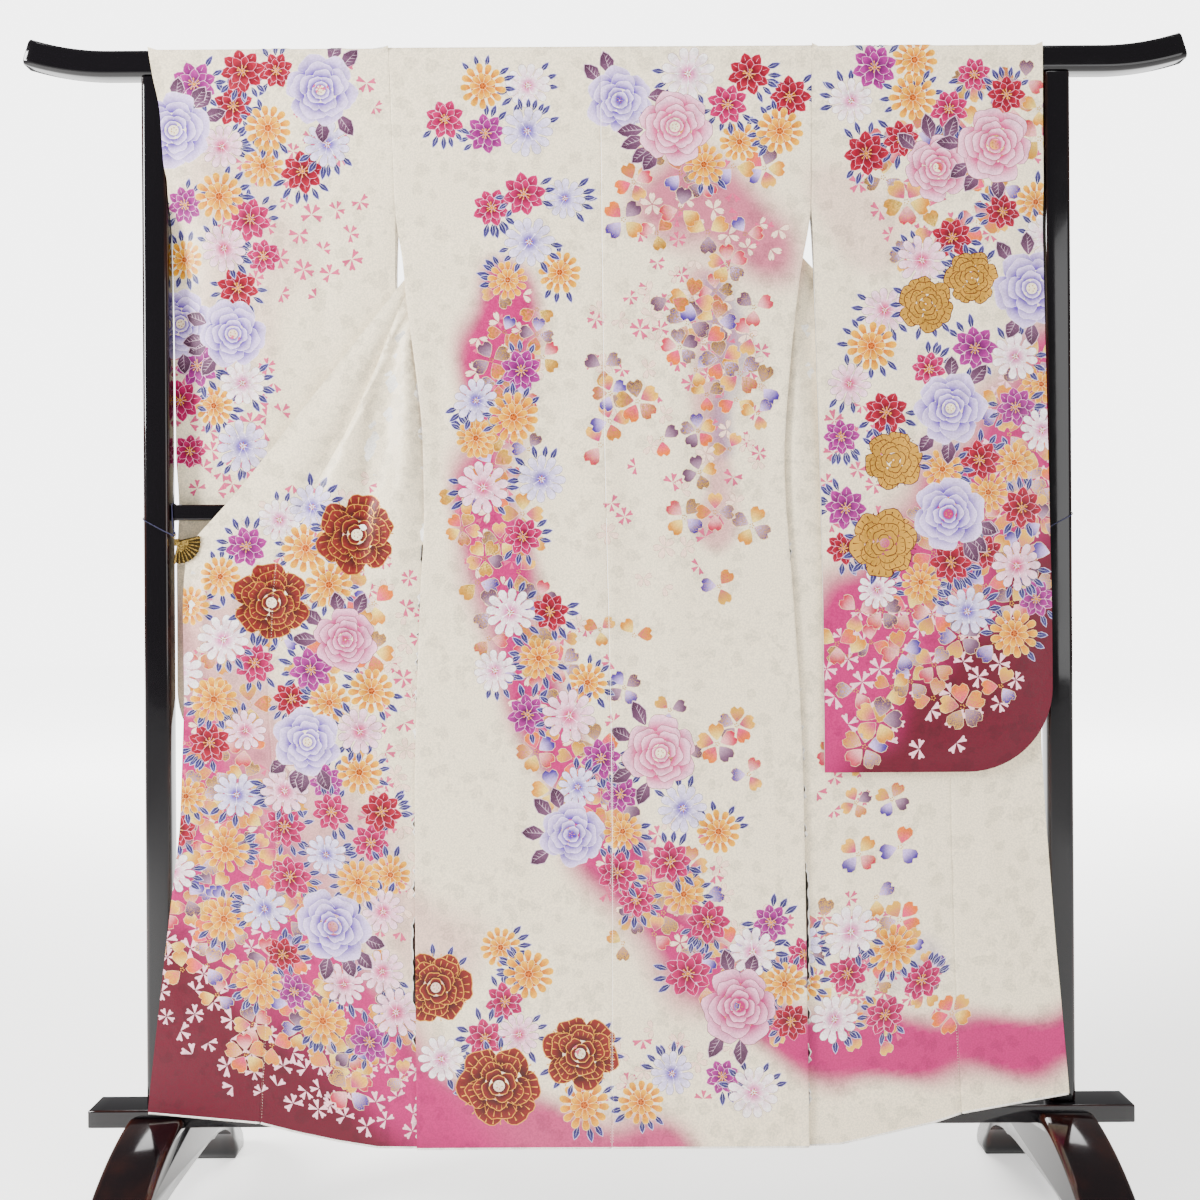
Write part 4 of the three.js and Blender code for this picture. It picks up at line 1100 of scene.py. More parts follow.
def place_blooms(sheet, blooms):
    """Lays leaves round each bloom, then the blooms, large ones last."""
    for kind, x, z, size, facts in sorted(blooms, key=lambda row: row[3]):
        at = np.array((x, z), float)
        for _ in range(2):
            way = sheet.chance.uniform(0, 2 * math.pi)
            broad = kind is rose and facts[0] in ("pink", "lilac", "blush")
            if broad:
                leaves(sheet, at, size, way, 2, 0.55, 1.0, "mauve")
            elif size > 20:
                leaves(sheet, at, size, way, 3, 0.42, sheet.chance.uniform(0.8, 1.05))
        kind(sheet, x, z, size, *facts)


plant(sheet, [
    ((-180, 1690), (90, 60), 0, "light", 5), ((150, 1680), (135, 80), 0, "full", 16),
    ((-110, 1500), (70, 90), 0, "light", 7), ((-150, 1150), (60, 190), 0, "light", 7),
    ((-100, 850), (70, 120), 0.5, "light", 8), ((50, 610), (110, 120), 0.7, "full", 13),
    ((200, 390), (100, 100), 0.6, "full", 13), ((-180, 330), (100, 110), 0.4, "russet", 9),
    ((60, 230), (170, 60), 0, "russet", 7),
])
for side in ("left", "right"):
    top = 1773 + OVER_LONG + 25
    outline, seams = strip_outline(lambda v, s=side: back_edges(s, v), 131, top)
    neck = [(x, v) if abs(x) > 92 or v < top - 1 else
            (x, v - 18 * float(soft((92 - abs(x)) / 28))) for x, v in outline]
    seams = seams[seams[:, 1] < 1742]
    back = printed_cloth(f"back_{side}_silk", neck, back_lay(side), sheet, 1.6, seams)
    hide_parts(f"back_{side}")

# ---- Fronts and overlaps ----------------------------------------------------------------------
# Each front is a loom width folded back on itself behind the back panel, then drawn out to the
# side. The overlap panel, half as wide, is sewn to its edge. Held up at one corner by the clip, the
# left one falls in two cones and a roll beside the side seam.

FRONT = {
    "left": [
        (1747.7, 64, 78, 19.3, 22.5, 3.2, 0), (1650, 98, 134, 19.3, 24, 4, 0),
        (1577, 125, 192, 18, 24.5, 5, 0), (1518, 147, 238, 5, 14, 5.5, 4),
        (1430, 172, 307, -19.7, -12, 6, 16), (1391, 178, 338, -19.9, -13, 6.5, 25),
        (1296, 195, 412, -20.7, -14.5, 6.5, 62), (1200, 212, 488, -21.3, -17, 6, 93),
        (1110, 245, 559, -22, -20, 4.6, 111), (1030, 268, 633, -22.8, -22, 3.6, 134),
        (950, 272, 639, -23.7, -22, 3.2, 133), (800, 278, 637.5, -25.4, -22, 3.2, 124),
        (586, 281, 645, -28, -22.5, 3.2, 145), (393, 281, 666, -32, -25, 3.2, 153),
        (131, 281, 693, -36.2, -32.5, 3.2, 168),
    ],
    "right": [
        (1747.7, 62, 76, 19.3, 22.5, 3.2, 0), (1650, 100, 146, 19.3, 24, 4, 0),
        (1577, 128, 205, 18, 24.5, 5, 0), (1518, 147, 254, 5, 14, 5.5, 4),
        (1430, 165, 328, -19.7, -8, 6, 16), (1391, 174, 361, -19.9, -10, 6.5, 28),
        (1296, 195, 442, -20.7, -12.5, 6.5, 62), (1200, 225, 522, -21.3, -14.5, 5.5, 93),
        (1110, 244, 597, -22, -16.4, 4.6, 111), (1030, 262, 652, -22.7, -16.8, 3.6, 134),
        (950, 267, 649, -23.7, -17.5, 3.2, 134), (700, 279, 649.5, -26.6, -21.5, 3.2, 137),
        (577, 281, 655, -28.2, -22, 3.2, 142), (366, 284, 668, -32.4, -25, 3.2, 152),
        (131, 285, 684.5, -36.2, -32.2, 3.2, 161),
    ],
}
FOLDS = {
    "left": [(1391, 309, 311, 2), (1337, 310, 330, 7), (1251, 314, 366, 10), (1177, 320, 397, 11),
             (1072, 343, 425, 8), (960, 360, 437, 3), (800, 366, 440, 0), (131, 366, 440, 0)],
    "right": [(1391, 293, 312, 2), (1297, 294, 340, 4), (1208, 303, 372, 4), (1072, 308, 420, 2),
              (960, 330, 437, 0), (800, 366, 440, 0), (131, 366, 440, 0)],
}
HEM_LINE = {
    "left": [(290, 130), (350, 131), (410, 141), (470, 154), (524, 168), (693, 184)],
    "right": [(290, 130), (340, 132), (377, 140), (480, 163), (523, 177), (684.5, 205)],
}
FRONT_CREASES = {
    "left": [
        ([(600, 1026), (606, 960), (612, 880)], 7, 2.2), ([(585, 1022), (560, 930), (520, 850)], 12, 0.9),
        ([(625, 1015), (628, 930), (630, 860)], 6, -1.0), ([(575, 1025), (500, 960), (440, 900)], 14, 0.8),
        ([(330, 1340), (352, 1240), (362, 1150), (366, 1060)], 9, -1.6),
        ([(345, 1020), (356, 860), (352, 700)], 12, -0.9), ([(400, 880), (402, 640), (392, 380)], 14, 0.7),
        ([(470, 840), (462, 600), (476, 330)], 15, -0.8), ([(320, 700), (324, 480), (318, 260)], 12, 0.6),
        ([(560, 780), (572, 560), (590, 300)], 16, 0.9), ([(610, 720), (622, 520), (640, 280)], 12, -0.8),
        ([(300, 690), (420, 676), (520, 688), (630, 680)], 8, 0.8), ([(310, 1180), (322, 1100)], 7, -0.8),
        ([(430, 1060), (520, 1000), (580, 1020)], 14, -0.7),
        ([(310, 300), (420, 316), (520, 330)], 14, -0.5),
    ],
    "right": [
        ([(340, 680), (352, 480), (346, 260)], 13, 0.8), ([(420, 660), (430, 480), (438, 260)], 15, -0.8),
        ([(560, 680), (572, 480), (590, 290)], 14, 0.9), ([(620, 650), (630, 480), (650, 300)], 12, -0.7),
        ([(300, 505), (420, 512), (540, 506), (650, 514)], 7, 0.9), ([(470, 650), (480, 400)], 12, 0.6),
        ([(640, 1025), (560, 960), (470, 900)], 14, 0.8), ([(320, 400), (420, 372), (500, 392)], 12, -0.5),
    ],
}
EASED_ROWS = np.arange(125.0, 1760.0, 5.0)


def eased(values):
    """Table values by height, with their corners rounded off."""
    pad = np.concatenate([2 * values[0] - values[6:0:-1], values, 2 * values[-1] - values[-2:-8:-1]])
    weights = np.array([1, 2, 4, 6, 8, 9, 9, 9, 8, 6, 4, 2, 1], float)
    return np.convolve(pad, weights / weights.sum(), "valid")


def front_knots(side):
    """For each height, the depth of a front's middle at its seam, folds and edge."""
    def value(table, column):
        rows = sorted(table)
        return np.interp(EASED_ROWS, [r[0] for r in rows], [r[column] for r in rows])

    z = EASED_ROWS
    fold, back_y, first = value(FRONT[side], 5), value(FRONT[side], 4), value(FRONT[side], 3)
    edge, line = value(FRONT[side], 2), value(FRONT[side], 2) - value(FRONT[side], 6)
    turn = value(FRONT[side], 1)
    seam = value(SIDE[side], 1)
    start = seam - (z < 1430)
    inner = turn + np.minimum(4, (start - turn) * 0.35)
    roll, cone, high = (value(FOLDS[side], k) for k in (1, 2, 3))
    spread = soft((1430 - z) / 90)
    outs, depths = [turn, inner], [first + fold / 2, first + fold]

    def lay_at(out, lift):
        flat = first + fold + (back_y - first - fold) * (out - turn) / (edge - turn)
        outs.append(out)
        depths.append(flat - lift)

    marks = ((seam - 3, 0 * high), (seam + 0.55 * (roll - seam), high), (roll, high * 0.35),
             (roll + 0.3 * (cone - roll), -high * 0.35), (cone, high * 0.55), (line, -high * 0.2))
    for k, (spot, lift) in enumerate(marks):
        even = inner + (line - inner) * (k + 1) / 6
        lay_at(even + (spot - even) * spread, lift * spread)
    crest = (4 if side == "left" else 0) * spread * soft((z - 700) / 300) * soft(np.abs(z - 1030) / 120)
    for share in (0.3, 0.6, 0.85, 1):
        lay_at(line + (edge - line) * share, crest * math.sin(math.pi * min(share, 0.9)))
    return {"outs": np.stack([eased(o) for o in outs], 1), "depths": np.stack([eased(d) for d in depths], 1),
            "first": eased(first), "start": eased(start), "line": eased(line), "edge": eased(edge)}


def front_lay(side):
    sign = -1 if side == "left" else 1
    knots = front_knots(side)

    def at_height(values, z):
        k = np.clip((z - EASED_ROWS[0]) / 5, 0, len(EASED_ROWS) - 1.001)
        low = k.astype(int)
        t = (k - low)[:, None] if values.ndim > 1 else k - low
        return values[low] * (1 - t) + values[low + 1] * t

    def lay(x, v):
        out = x * sign
        outs, depths = at_height(knots["outs"], v), at_height(knots["depths"], v)
        turn = outs[:, 0]
        place = np.maximum(out, turn)
        k = np.clip((place[:, None] >= outs).sum(1) - 1, 0, outs.shape[1] - 2)
        row = np.arange(len(out))
        before, after = np.maximum(k - 1, 0), np.minimum(k + 2, outs.shape[1] - 1)
        x0, x1, y0, y1 = outs[row, k], outs[row, k + 1], depths[row, k], depths[row, k + 1]
        h = np.maximum(x1 - x0, 1e-6)
        t = np.clip((place - x0) / h, 0, 1)
        m0 = (y1 - depths[row, before]) / np.maximum(x1 - outs[row, before], 1e-6) * h
        m1 = (depths[row, after] - y0) / np.maximum(outs[row, after] - x0, 1e-6) * h
        y = y0 * (1 + 2 * t) * (1 - t) ** 2 + m0 * t * (1 - t) ** 2 + y1 * t * t * (3 - 2 * t) \
            + m1 * t * t * (t - 1)
        hidden = np.maximum(turn - out, 0)
        first = at_height(knots["first"], v)
        y = np.where(out < turn, first + (y - first) * np.clip(1 - hidden / 4, 0, 1) ** 0.5, y)
        shown = np.where(out < turn, turn + hidden, out)
        for path, wide, deep in FRONT_CREASES[side]:
            y = y - crease(out, v, path, wide, deep) * (out > turn)
        line = at_height(knots["line"], v)
        y = y + 0.7 * np.clip(1 - np.abs(out - line) / 3, 0, 1) ** 2
        rise = np.interp(np.maximum(shown, 290), *zip(*HEM_LINE[side])) - 130
        lift = soft((1030 - v) / (1030 - 131))
        return np.stack([sign * shown, y, v + rise * lift], 1)

    def front_edges(v):
        turn = at_height(knots["outs"], v)[:, 0]
        return sign * (2 * turn - at_height(knots["start"], v)), sign * (at_height(knots["line"], v) - 0.15)

    def overlap_edges(v):
        line, edge = at_height(knots["line"], v), at_height(knots["edge"], v)
        return sign * (line + 0.15), sign * edge
    return lay, front_edges, overlap_edges


for side in ("left", "right"):
    sign = -1 if side == "left" else 1
    sheet = Sheet(21, HEM_FIELD) if side == "left" else Sheet(22)
    if side == "left":
        for centre, reach, tilt, count in (
                ((-440, 1080), (110, 60), 0.5, 20), ((-380, 1000), (60, 90), 0, 16),
                ((-620, 820), (40, 160), 0, 22), ((-340, 760), (60, 110), 0, 18),
                ((-330, 560), (50, 130), 0, 18), ((-560, 640), (110, 90), 0, 18),
                ((-300, 880), (30, 110), 0, 10)):
            scatter(sheet, sprig, count // 2, centre, reach, tilt, 26, size=14, colour=PINK_FLAT, whole=5)
            scatter(sheet, outline_blossom, count // 2, centre, reach, tilt, 28, size=16, whole=5)
        scatter(sheet, sprig, 60, (-520, 300), (180, 130), -0.5, 27, size=16, colour=PALE_FLAT, whole=5)
        scatter(sheet, sprig, 24, (-340, 210), (110, 60), -0.2, 25, size=15, colour=PALE_FLAT, whole=5)
        for centre, reach, tilt, count in (
                ((-590, 720), (60, 160), 0, 14), ((-560, 540), (110, 110), 0, 17),
                ((-480, 400), (140, 90), -0.5, 16), ((-620, 440), (60, 150), 0, 12),
                ((-420, 900), (90, 90), 0, 9), ((-380, 300), (110, 80), -0.3, 10),
                ((-470, 250), (100, 60), -0.3, 8)):
            scatter(sheet, cherry, count, centre, reach, tilt, 36, size=30, whole=5)
        plant(sheet, [
            ((-470, 1010), (120, 80), 0.4, "russet", 12), ((-590, 830), (60, 150), 0, "light", 12),
            ((-440, 770), (95, 150), 0, "full", 18), ((-570, 560), (100, 130), 0, "light", 13),
            ((-400, 560), (75, 130), 0, "full", 13), ((-430, 370), (120, 90), -0.4, "light", 12),
        ])
    else:
        for centre, reach, tilt, count in (
                ((360, 420), (90, 90), -0.4, 14), ((420, 330), (110, 60), -0.3, 14),
                ((340, 680), (60, 60), 0, 6)):
            scatter(sheet, sprig, count, centre, reach, tilt, 26, size=14, colour=PINK_FLAT, whole=5)
            scatter(sheet, cherry, count // 2, centre, reach, tilt, 34, size=28, whole=5)
        scatter(sheet, cherry, 3, (410, 600), (60, 80), 0, 60, size=30, whole=5)
        plant(sheet, [((370, 380), (110, 100), 0.4, "light", 13)])
    lay, front_edges, overlap_edges = front_lay(side)
    outline, seams = strip_outline(front_edges, 131, 1747.7)
    front = printed_cloth(f"front_{side}_silk", outline, lay, sheet, 1.6, seams)
    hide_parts(f"front_{side}", f"shoulder_{side}")
    outline, seams = strip_outline(overlap_edges, 131, 1517)
    overlap = printed_cloth(f"okumi_{side}_silk", outline, lay, sheet, 1.6, seams)
    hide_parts(f"okumi_{side}")
    if side == "left":
        left_lay = lay
    else:
        right_lay = lay

# ---- Sleeves ----------------------------------------------------------------------------------
# One length of silk each, folded over the rail and sewn along the bottom, round the corner and up
# the outer edge to the wrist opening. The inner edge is left open below the armhole.

SLEEVE = {
    "left": [(1783, 688, -19.3, 19.3), (1740, 681, -19.3, 19.3), (1688, 670.5, -19.3, 19.8),
             (1606, 665, -19.3, 20.5), (1577, 660, -18.6, 20.5), (1500, 660, -9.5, 21),
             (1430, 660, -2, 21.5), (1310, 660, 6, 22), (1180, 660, 12.6, 22), (1096, 656.2, 13.4, 22),
             (1000, 660, 14, 21.5), (687, 660, 13, 20)],
    "right": [(1783, 658, -19.3, 19.3), (1742, 658, -19.3, 19.3), (1655, 657.5, -20, 14),
              (1577, 657.5, -21, 3), (1500, 657.5, -22.5, -6), (1430, 657.5, -24, -13.5),
              (1310, 658.6, -26, -18.5), (1200, 660.2, -28, -20.5), (1083, 662, -29.5, -21.2),
              (900, 664, -32, -24.5), (687, 663, -34, -29)],
}
SLEEVE_OPEN = {
    "left": [(1535, 317), (1430, 320), (687, 321)],
    "right": [(1535, 308), (1499, 309.8), (1275, 315), (1155, 318), (914, 321), (687, 321.5)],
}
FOLD_AT = 1773 + OVER_LONG / 2
SLEEVE_CREASES = {
    "left": [([(600, 1720), (590, 1500), (600, 1250)], 14, 0.9),
             ([(420, 1700), (430, 1400), (424, 1120)], 16, -0.9),
             ([(520, 1640), (512, 1400), (520, 1150)], 16, 0.7),
             ([(340, 1500), (480, 1492), (650, 1504)], 9, -0.6),
             ([(640, 1700), (652, 1600), (646, 1500)], 9, -0.9)],
    "right": [([(380, 1700), (372, 1400), (384, 1100), (378, 800)], 16, -0.9),
              ([(560, 1690), (572, 1300), (560, 900)], 18, 0.9),
              ([(470, 1600), (462, 1200), (476, 760)], 18, -0.6),
              ([(330, 1240), (480, 1232), (650, 1242)], 8, 0.6),
              ([(330, 980), (500, 990), (655, 982)], 9, -0.6),
              ([(620, 1400), (628, 1100), (622, 860)], 13, 0.7)],
}


def sleeve_height(v):
    v = np.asarray(v, float)
    return np.where(v < 1773, v, np.where(v > 1773 + OVER_LONG, 2 * FOLD_AT - v, 1783.0))


def sleeve_edges(side, v):
    sign = -1 if side == "left" else 1
    z = sleeve_height(v)
    fall = np.clip(127 - (z - 687), 0, 127)
    outer = from_table(SLEEVE[side], 1, z) - 127 + np.sqrt(127 ** 2 - fall ** 2)
    inner = np.where(z > 1535, from_table(SIDE[side], 1, z), from_table(SLEEVE_OPEN[side], 1, z)) + 0.3
    return sign * inner, sign * outer


def sleeve_lay(side):
    sign = -1 if side == "left" else 1

    def lay(x, v):
        out = x * sign
        y_over, z_over = over_rail(v)
        z = np.where((v > 1773) & (v < 1773 + OVER_LONG), z_over, sleeve_height(v))
        outer = sign * sleeve_edges(side, v)[1]
        sewn = soft((1577 - z) / 90)
        fill = (1 + (soft((outer - out) / 60) - 1) * sewn) * soft((z - 687) / 60)
        near, far = from_table(SLEEVE[side], 2, z), from_table(SLEEVE[side], 3, z)
        half = 0.86 + ((far - near) / 2 - 0.86) * fill
        layer = np.where(v < FOLD_AT, -1.0, 1.0)
        y = (near + far) / 2 + layer * half
        y = np.where((v > 1742) & (v < 1773 + OVER_LONG + 31), y_over, y)
        for path, wide, deep in SLEEVE_CREASES[side]:
            y = y - crease(out, z, path, wide, deep) * fill * (z < 1745)
        return np.stack([x + 0 * y, y, z], 1)
    return lay


for side in ("left", "right"):
    sheet = Sheet(31) if side == "left" else Sheet(32, SLEEVE_FIELD)
    if side == "left":
        scatter(sheet, sprig, 60, (-590, 1230), (95, 130), 0, 23, size=15, colour=PINK_FLAT, whole=5)
        scatter(sheet, sprig, 26, (-470, 1520), (110, 130), 0, 34, size=15, colour=PINK_FLAT, whole=5)
        scatter(sheet, sprig, 14, (-400, 1700), (60, 60), 0, 36, size=15, colour=PINK_FLAT, whole=5)
    else:
        scatter(sheet, sprig, 22, (500, 1600), (150, 160), 0, 34, size=15, colour=PINK_FLAT, whole=5)
        scatter(sheet, sprig, 40, (620, 1160), (60, 130), 0, 26, size=15, colour=PALE_FLAT, whole=5)
        scatter(sheet, sprig, 42, (470, 850), (150, 130), 0.3, 30, size=17, colour=PALE_FLAT, whole=5)
        scatter(sheet, sprig, 18, (370, 1130), (50, 110), 0, 30, size=15, colour=PINK_FLAT, whole=5)
        for centre, reach, count in (((590, 1640), (70, 120), 12), ((470, 1560), (120, 120), 9),
                                     ((630, 1180), (50, 140), 12), ((560, 1020), (110, 90), 14),
                                     ((500, 860), (150, 90), 15), ((390, 840), (60, 120), 7)):
            scatter(sheet, cherry, count, centre, reach, 0, 36, size=31, whole=5)
    beds = [
        ((-520, 1670), (150, 90), 0, "full", 19), ((-590, 1440), (80, 150), 0, "full", 15),
        ((-600, 1230), (60, 80), 0, "light", 6),
    ] if side == "left" else [
        ((490, 1670), (160, 90), 0, "full", 18), ((570, 1480), (100, 100), 0, "gilded", 11),
        ((460, 1260), (130, 140), 0, "gilded", 15), ((600, 1230), (60, 130), 0, "light", 6),
        ((450, 1040), (110, 90), 0, "gilded", 8), ((570, 980), (80, 130), 0, "light", 9),
    ]
    far_beds = [((x, 2 * FOLD_AT - z), reach, -tilt, mix, 1) for (x, z), reach, tilt, mix, _ in beds[:4]]
    plant(sheet, beds + far_beds)
    low_end = 687 + 127 * (1 - np.cos(np.linspace(0, math.pi / 2, 16)))
    heights = np.concatenate([low_end, np.arange(824, 1770, 9.0), np.linspace(1773, 1773 + OVER_LONG, 9),
                              2 * FOLD_AT - np.arange(824, 1770, 9.0)[::-1], 2 * FOLD_AT - low_end[::-1]])
    a, b = sleeve_edges(side, heights)
    ends = np.linspace(a[0], b[0], 24)[1:-1]
    outline = [(a[0], heights[0])] + [(x, heights[0]) for x in ends] + list(zip(b, heights)) \
        + [(x, heights[-1]) for x in ends[::-1]] + list(zip(a[:0:-1], heights[:0:-1]))
    sleeve = printed_cloth(
        f"sleeve_{side}_silk", outline, sleeve_lay(side), sheet, 1.6,
        fine=13, folded=lambda p: np.stack([p[:, 0], sleeve_height(p[:, 1])], 1))
    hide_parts(f"sleeve_{side}")

# ---- Collar -----------------------------------------------------------------------------------
# A stiffened band of the same silk, sewn along both front edges and round the back of the neck. It
# is turned to the far side of the fronts, and hangs down behind the rail at the neck.


def band(name, middle, thick, material):
    """A closed wall round a grid of middle points, rounded at its long edges."""
    grid = np.asarray(middle, float)
    along = np.gradient(grid, axis=0)
    over = np.gradient(grid, axis=1)
    out = np.cross(along, over)
    out /= np.maximum(np.linalg.norm(out, axis=2, keepdims=True), 1e-9)
    rows, columns = grid.shape[:2]
    swell = np.sin(np.linspace(0.12, 1, columns) * math.pi * 0.5) ** 0.5
    swell = np.minimum(swell, swell[::-1])[None, :, None]
    rings = np.concatenate([grid + out * thick / 2 * swell, (grid - out * thick / 2 * swell)[:, ::-1]], 1)
    return loft(name, rings.tolist(), material)


def collar_grid():
    spots = []
    for side, sign, lean, lay in (("left", -1, 5, left_lay), ("right", 1, 1.2, right_lay)):
        heights = np.concatenate([np.arange(1031, 1688, 9.0)])
        knots = front_knots(side)
        edge = np.interp(heights, EASED_ROWS, knots["edge"])
        points = lay(sign * edge, heights)
        spots.append([(p, lean) for p in points])
    neck = []
    for t in np.linspace(-1, 1, 19):
        neck.append((np.array((t * 64, 20.3 - 1 + 4.2 * abs(t), 1762 - 30 * abs(t) ** 3)), 1.2))
    path = spots[0] + neck + spots[1][::-1]
    places = np.array([p for p, _ in path])
    for _ in range(3):
        places[1:-1] = (places[:-2] + 2 * places[1:-1] + places[2:]) / 4
    grid = []
    for k, (_, lean) in enumerate(path):
        before, after = places[max(k - 1, 0)], places[min(k + 1, len(path) - 1)]
        inward = np.array((after[2] - before[2], 0, before[0] - after[0]))
        inward /= np.linalg.norm(inward)
        grid.append([places[k] + inward * 55 * t + (0, 2.8 + lean * t, 0)
                     for t in (0.03, 0.06, 0.12, 0.3, 0.5, 0.7, 0.88, 0.95, 1)])
    return grid


collar = band("collar_silk", collar_grid(), 2.6, plain_silk)
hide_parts("collar")

# ---- Hem rolls --------------------------------------------------------------------------------
# The white lining is turned out along the hem round a thin roll of wadding, and shows as a pale edge.


def roll_along(name, middle, radius):
    rings = []
    for k, place in enumerate(middle):
        along = middle[min(k + 1, len(middle) - 1)] - middle[max(k - 1, 0)]
        along /= np.linalg.norm(along)
        down = np.cross(along, (0, 1, 0))
        down /= np.linalg.norm(down)
        through = np.cross(down, along)
        rings.append([place + radius * (math.cos(a) * through + math.sin(a) * down)
                      for a in np.arange(8) * math.pi / 4])
    return loft(name, np.array(rings).tolist(), plain_silk)


for side, sign in (("left", -1), ("right", 1)):
    front_way = left_lay if side == "left" else right_lay
    centre, edge = back_edges(side, np.array([131.0]))
    knots = front_knots(side)
    turn, line, end = (np.interp(131, EASED_ROWS, column)
                       for column in (knots["outs"][:, 0], knots["line"], knots["edge"]))
    for part, way, start, stop in (("back", back_lay(side), centre[0] + sign, edge[0] - sign),
                                   ("front", front_way, sign * (turn + 1), sign * (line - 1)),
                                   ("overlap", front_way, sign * (line + 1), sign * (end - 1))):
        x = np.linspace(start, stop, 40)
        roll_along(f"hem_roll_{part}_{side}", way(x, np.full(40, 131.5)) - (0, 0, 0.9), 1.9)

# ---- Stitches ---------------------------------------------------------------------------------
# Running stitches in ivory silk thread beside the seams, along the waist tuck and the armholes.

row = bpy.data.node_groups.new("stitch row", "GeometryNodeTree")
row.interface.new_socket("Geometry", in_out="INPUT", socket_type="NodeSocketGeometry")
pitch_socket = row.interface.new_socket("Pitch", in_out="INPUT", socket_type="NodeSocketFloat")
thread_socket = row.interface.new_socket("Thread", in_out="INPUT", socket_type="NodeSocketMaterial")
row.interface.new_socket("Geometry", in_out="OUTPUT", socket_type="NodeSocketGeometry")
taken, given = row.nodes.new("NodeGroupInput"), row.nodes.new("NodeGroupOutput")
as_curve = row.nodes.new("GeometryNodeMeshToCurve")
spaced = row.nodes.new("GeometryNodeCurveToPoints")
spaced.mode = "LENGTH"
bead = row.nodes.new("GeometryNodeMeshIcoSphere")
bead.inputs["Radius"].default_value = 0.001
bead.inputs["Subdivisions"].default_value = 1
drawn_out = row.nodes.new("GeometryNodeTransform")
drawn_out.inputs["Scale"].default_value = (0.3, 0.3, 1.15)
sewn = row.nodes.new("GeometryNodeInstanceOnPoints")
made_real = row.nodes.new("GeometryNodeRealizeInstances")
dyed = row.nodes.new("GeometryNodeSetMaterial")
for source, socket, target, place in (
        (taken, "Geometry", as_curve, "Mesh"), (as_curve, "Curve", spaced, "Curve"),
        (taken, "Pitch", spaced, "Length"), (spaced, "Points", sewn, "Points"),
        (spaced, "Rotation", sewn, "Rotation"), (bead, "Mesh", drawn_out, "Geometry"),
        (drawn_out, "Geometry", sewn, "Instance"), (sewn, "Instances", made_real, "Geometry"),
        (made_real, "Geometry", dyed, "Geometry"), (taken, "Thread", dyed, "Material"),
        (dyed, "Geometry", given, "Geometry")):
    row.links.new(source.outputs[socket], target.inputs[place])

silk_thread, nodes, links, shader = new_material("silk thread", "E6D9BC", 0.5)
add_bump(nodes, links, shader, add_noise(nodes, links, 2500, 1), 0.4, 0.0001)


def stitch(name, places):
    """A row of stitches along places in metres."""
    line = bpy.data.meshes.new(name)
    line.from_pydata(places.tolist(), [(k, k + 1) for k in range(len(places) - 1)], [])
    piece = bpy.data.objects.new(name, line)
    bpy.context.scene.collection.objects.link(piece)
    sewing = piece.modifiers.new("sewing", "NODES")
    sewing.node_group = row
    sewing[pitch_socket.identifier] = 0.0042
    sewing[thread_socket.identifier] = silk_thread
    bpy.context.view_layer.update()
    whole = bpy.data.meshes.new_from_object(piece.evaluated_get(bpy.context.evaluated_depsgraph_get()))
    piece.modifiers.remove(sewing)
    piece.data = whole
    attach(piece, "root")
    return piece


for side, sign in (("left", -1), ("right", 1)):
    centre, edge = back_edges(side, np.array([TUCK + 2.0]))
    across = np.linspace(centre[0] + sign * 3, edge[0] - sign * 3, 60)
    spots = {"tuck": (back_lay(side), across, np.full(60, TUCK + 2.0))}
    up = np.linspace(140, 1745, 180)
    spots["centre"] = (back_lay(side), back_edges(side, up)[0] + sign * 2.2, up)
    knots = front_knots(side)
    up = np.linspace(140, 1505, 160)
    spots["overlap"] = (left_lay if side == "left" else right_lay,
                        sign * (np.interp(up, EASED_ROWS, knots["line"]) - 2.2), up)
    up = np.linspace(1540, 1755, 40)
    spots["armhole"] = (sleeve_lay(side), sleeve_edges(side, up)[0] + sign * 2.4, up)
    for name, (way, x, v) in spots.items():
        places, _ = laid(way, np.stack([x, v], 1), 0.85)
        stitch(f"stitches_{name}_{side}", places / 1000)

# ---- Clips ------------------------------------------------------------------------------------
# Small gilt brass clips in the form of a folding fan. A sprung jaw behind each fan nips the cloth's
# edge, and a ring at the rivet takes the cord.

gilt_brass, nodes, links, shader = new_material("gilt brass", "C9A559", 0.28, 1.0)
links.new(add_ramp(nodes, links, add_noise(nodes, links, 400, 3), 0.35, 0.7, 0.2, 0.42),
          shader.inputs["Roughness"])
add_bump(nodes, links, shader, add_noise(nodes, links, 700, 2), 0.15, 0.0002)
dark_brass, nodes, links, shader = new_material("dark brass", "3A2E1A", 0.5, 1.0)
add_bump(nodes, links, shader, add_noise(nodes, links, 500, 2), 0.2, 0.0002)


def slab(points, faces, outline, near, far):
    """Adds a flat plate in the X-Z plane between two depths."""
    base, count = len(points), len(outline)
    points += [(x, near, z) for x, z in outline] + [(x, far, z) for x, z in outline]
    faces.append([base + k for k in range(count)])
    faces.append([base + count + k for k in reversed(range(count))])
    for k in range(count):
        j = (k + 1) % count
        faces.append([base + k, base + count + k, base + count + j, base + j])


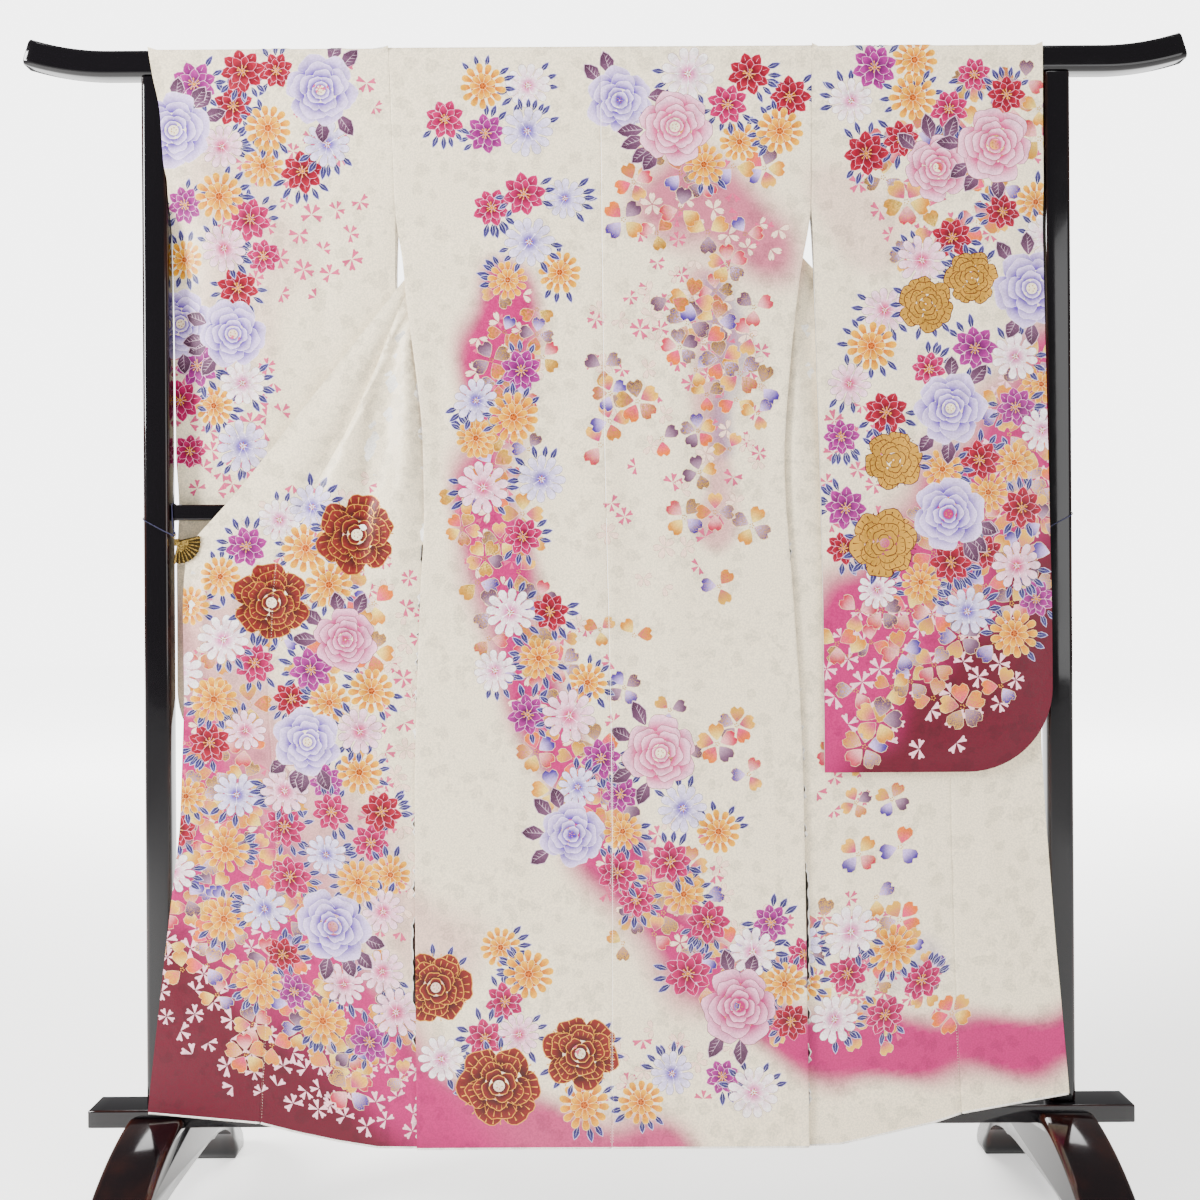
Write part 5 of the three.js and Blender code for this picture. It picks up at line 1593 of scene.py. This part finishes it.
for side, sign, (cx, cz), face, jaw in (("left", -1, (-643.3, 1037.2), -23.8, -14.6),
                                        ("right", 1, (653.4, 1041), -18.1, -11.6)):
    def spoke(degrees, radius, aside=0.0):
        a = math.radians(degrees)
        return (cx - sign * (radius * math.cos(a) - aside * math.sin(a)),
                cz + radius * math.sin(a) + aside * math.cos(a))

    points, faces = [], []
    fan = [spoke(18 - 125 * k / 20, 31.5) for k in range(21)]
    slab(points, faces, [(cx + sign * 2, cz + 3), *fan, (cx + sign * 3, cz - 3)], face - 0.9, face)
    slab(points, faces, [(cx + sign * 2, cz + 3), *[spoke(18 - 125 * k / 8, 24) for k in range(9)],
                         (cx + sign * 3, cz - 3)], jaw, jaw + 1.3)
    new_piece(f"clip_{side}_leaf", points, faces, dark_brass, False)
    points, faces = [], []
    for k in range(10):
        turn = 13 - 115 * k / 9
        wide = 1.5 if k in (0, 9) else 1.05
        slab(points, faces, [spoke(turn, 3, 0.6), spoke(turn, 31, wide), spoke(turn, 33, wide * 0.7),
                             spoke(turn, 33, -wide * 0.7), spoke(turn, 31, -wide), spoke(turn, 3, -0.6)],
             face - 1.75, face - 0.9)
    slab(points, faces, [spoke(18 - 125 * k / 12, 14) for k in range(13)] + [(cx + sign, cz)],
         face - 1.9, face - 0.9)
    slab(points, faces, [(cx + sign * 4 + x, cz + z) for x, z in rounded(6, 11, 1.5, 3)],
         face - 1.3, jaw + 1.3)
    ribs = new_piece(f"clip_{side}_ribs", points, faces, gilt_brass, False)
    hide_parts(f"clip_{side}")
    end = np.array(cord_routes[side][1][0]) * (sign, 1, 1)
    ring = []
    for a in np.arange(25) * math.pi / 12:
        out = np.array((math.cos(a), 0, math.sin(a)))
        ring.append([(end + out * (2.3 + 0.5 * math.cos(b)) + (0, 0.5 * math.sin(b), 0)).tolist()
                     for b in np.arange(8) * math.pi / 4])
    loft(f"clip_{side}_ring", ring, gilt_brass)

# ---- Stage ------------------------------------------------------------------------------------
# A pale studio floor, a soft key from the front left, a broad fill and a strip for the lacquer.

floor_mesh = bpy.data.meshes.new("floor")
floor_mesh.from_pydata([(-14, -10, 0), (14, -10, 0), (14, 18, 0), (-14, 18, 0)], [], [(0, 1, 2, 3)])
floor = bpy.data.objects.new("floor", floor_mesh)
bpy.context.scene.collection.objects.link(floor)
floor_paint, nodes, links, shader = new_material("pale floor", "FBFAF8", 0.8)
shader.inputs["Emission Color"].default_value = (1, 1, 1, 1)
place, parts = nodes.new("ShaderNodeTexCoord"), nodes.new("ShaderNodeSeparateXYZ")
links.new(place.outputs["Object"], parts.inputs["Vector"])
links.new(add_ramp(nodes, links, parts.outputs["Y"], 0.3, 6.0, 0.7, 4.6),
          shader.inputs["Emission Strength"])
links.new(add_ramp(nodes, links, add_noise(nodes, links, 3, 2), 0.3, 0.7, 0.75, 0.85),
          shader.inputs["Roughness"])
floor_mesh.materials.append(floor_paint)

world = bpy.data.worlds.new("studio")
bpy.context.scene.world = world
world.use_nodes = True
nodes, links = world.node_tree.nodes, world.node_tree.links
background = nodes["Background"]
background.inputs["Color"].default_value = (1, 1, 1, 1)
seen = nodes.new("ShaderNodeLightPath")
strength = nodes.new("ShaderNodeMapRange")
strength.inputs["To Min"].default_value = 0.3
strength.inputs["To Max"].default_value = 5.0
links.new(seen.outputs["Is Camera Ray"], strength.inputs["Value"])
links.new(strength.outputs["Result"], background.inputs["Strength"])

for name, place, aim, size, power in (
        ("key", (-3.1, -1.5, 2.3), (0, 0, 1.0), (0.8, 1.5), 300),
        ("fill", (2.4, -3.0, 1.5), (0, 0, 0.9), (1.8, 1.8), 42),
        ("top", (0, -0.9, 3.7), (0, 0, 0.9), (2.6, 1.0), 66),
        ("floor wash", (0, 4.5, 5.5), (0, 3.0, 0), (6, 3), 700),
        ("behind", (0.4, 3.2, 2.4), (0, 0, 0.9), (2.2, 2.2), 60)):
    lamp = bpy.data.lights.new(name, "AREA")
    lamp.shape = "RECTANGLE"
    lamp.size, lamp.size_y = size
    lamp.energy = power
    holder = bpy.data.objects.new(name, lamp)
    holder.location = place
    holder.rotation_euler = (Vector(aim) - Vector(place)).to_track_quat("-Z", "Y").to_euler()
    bpy.context.scene.collection.objects.link(holder)
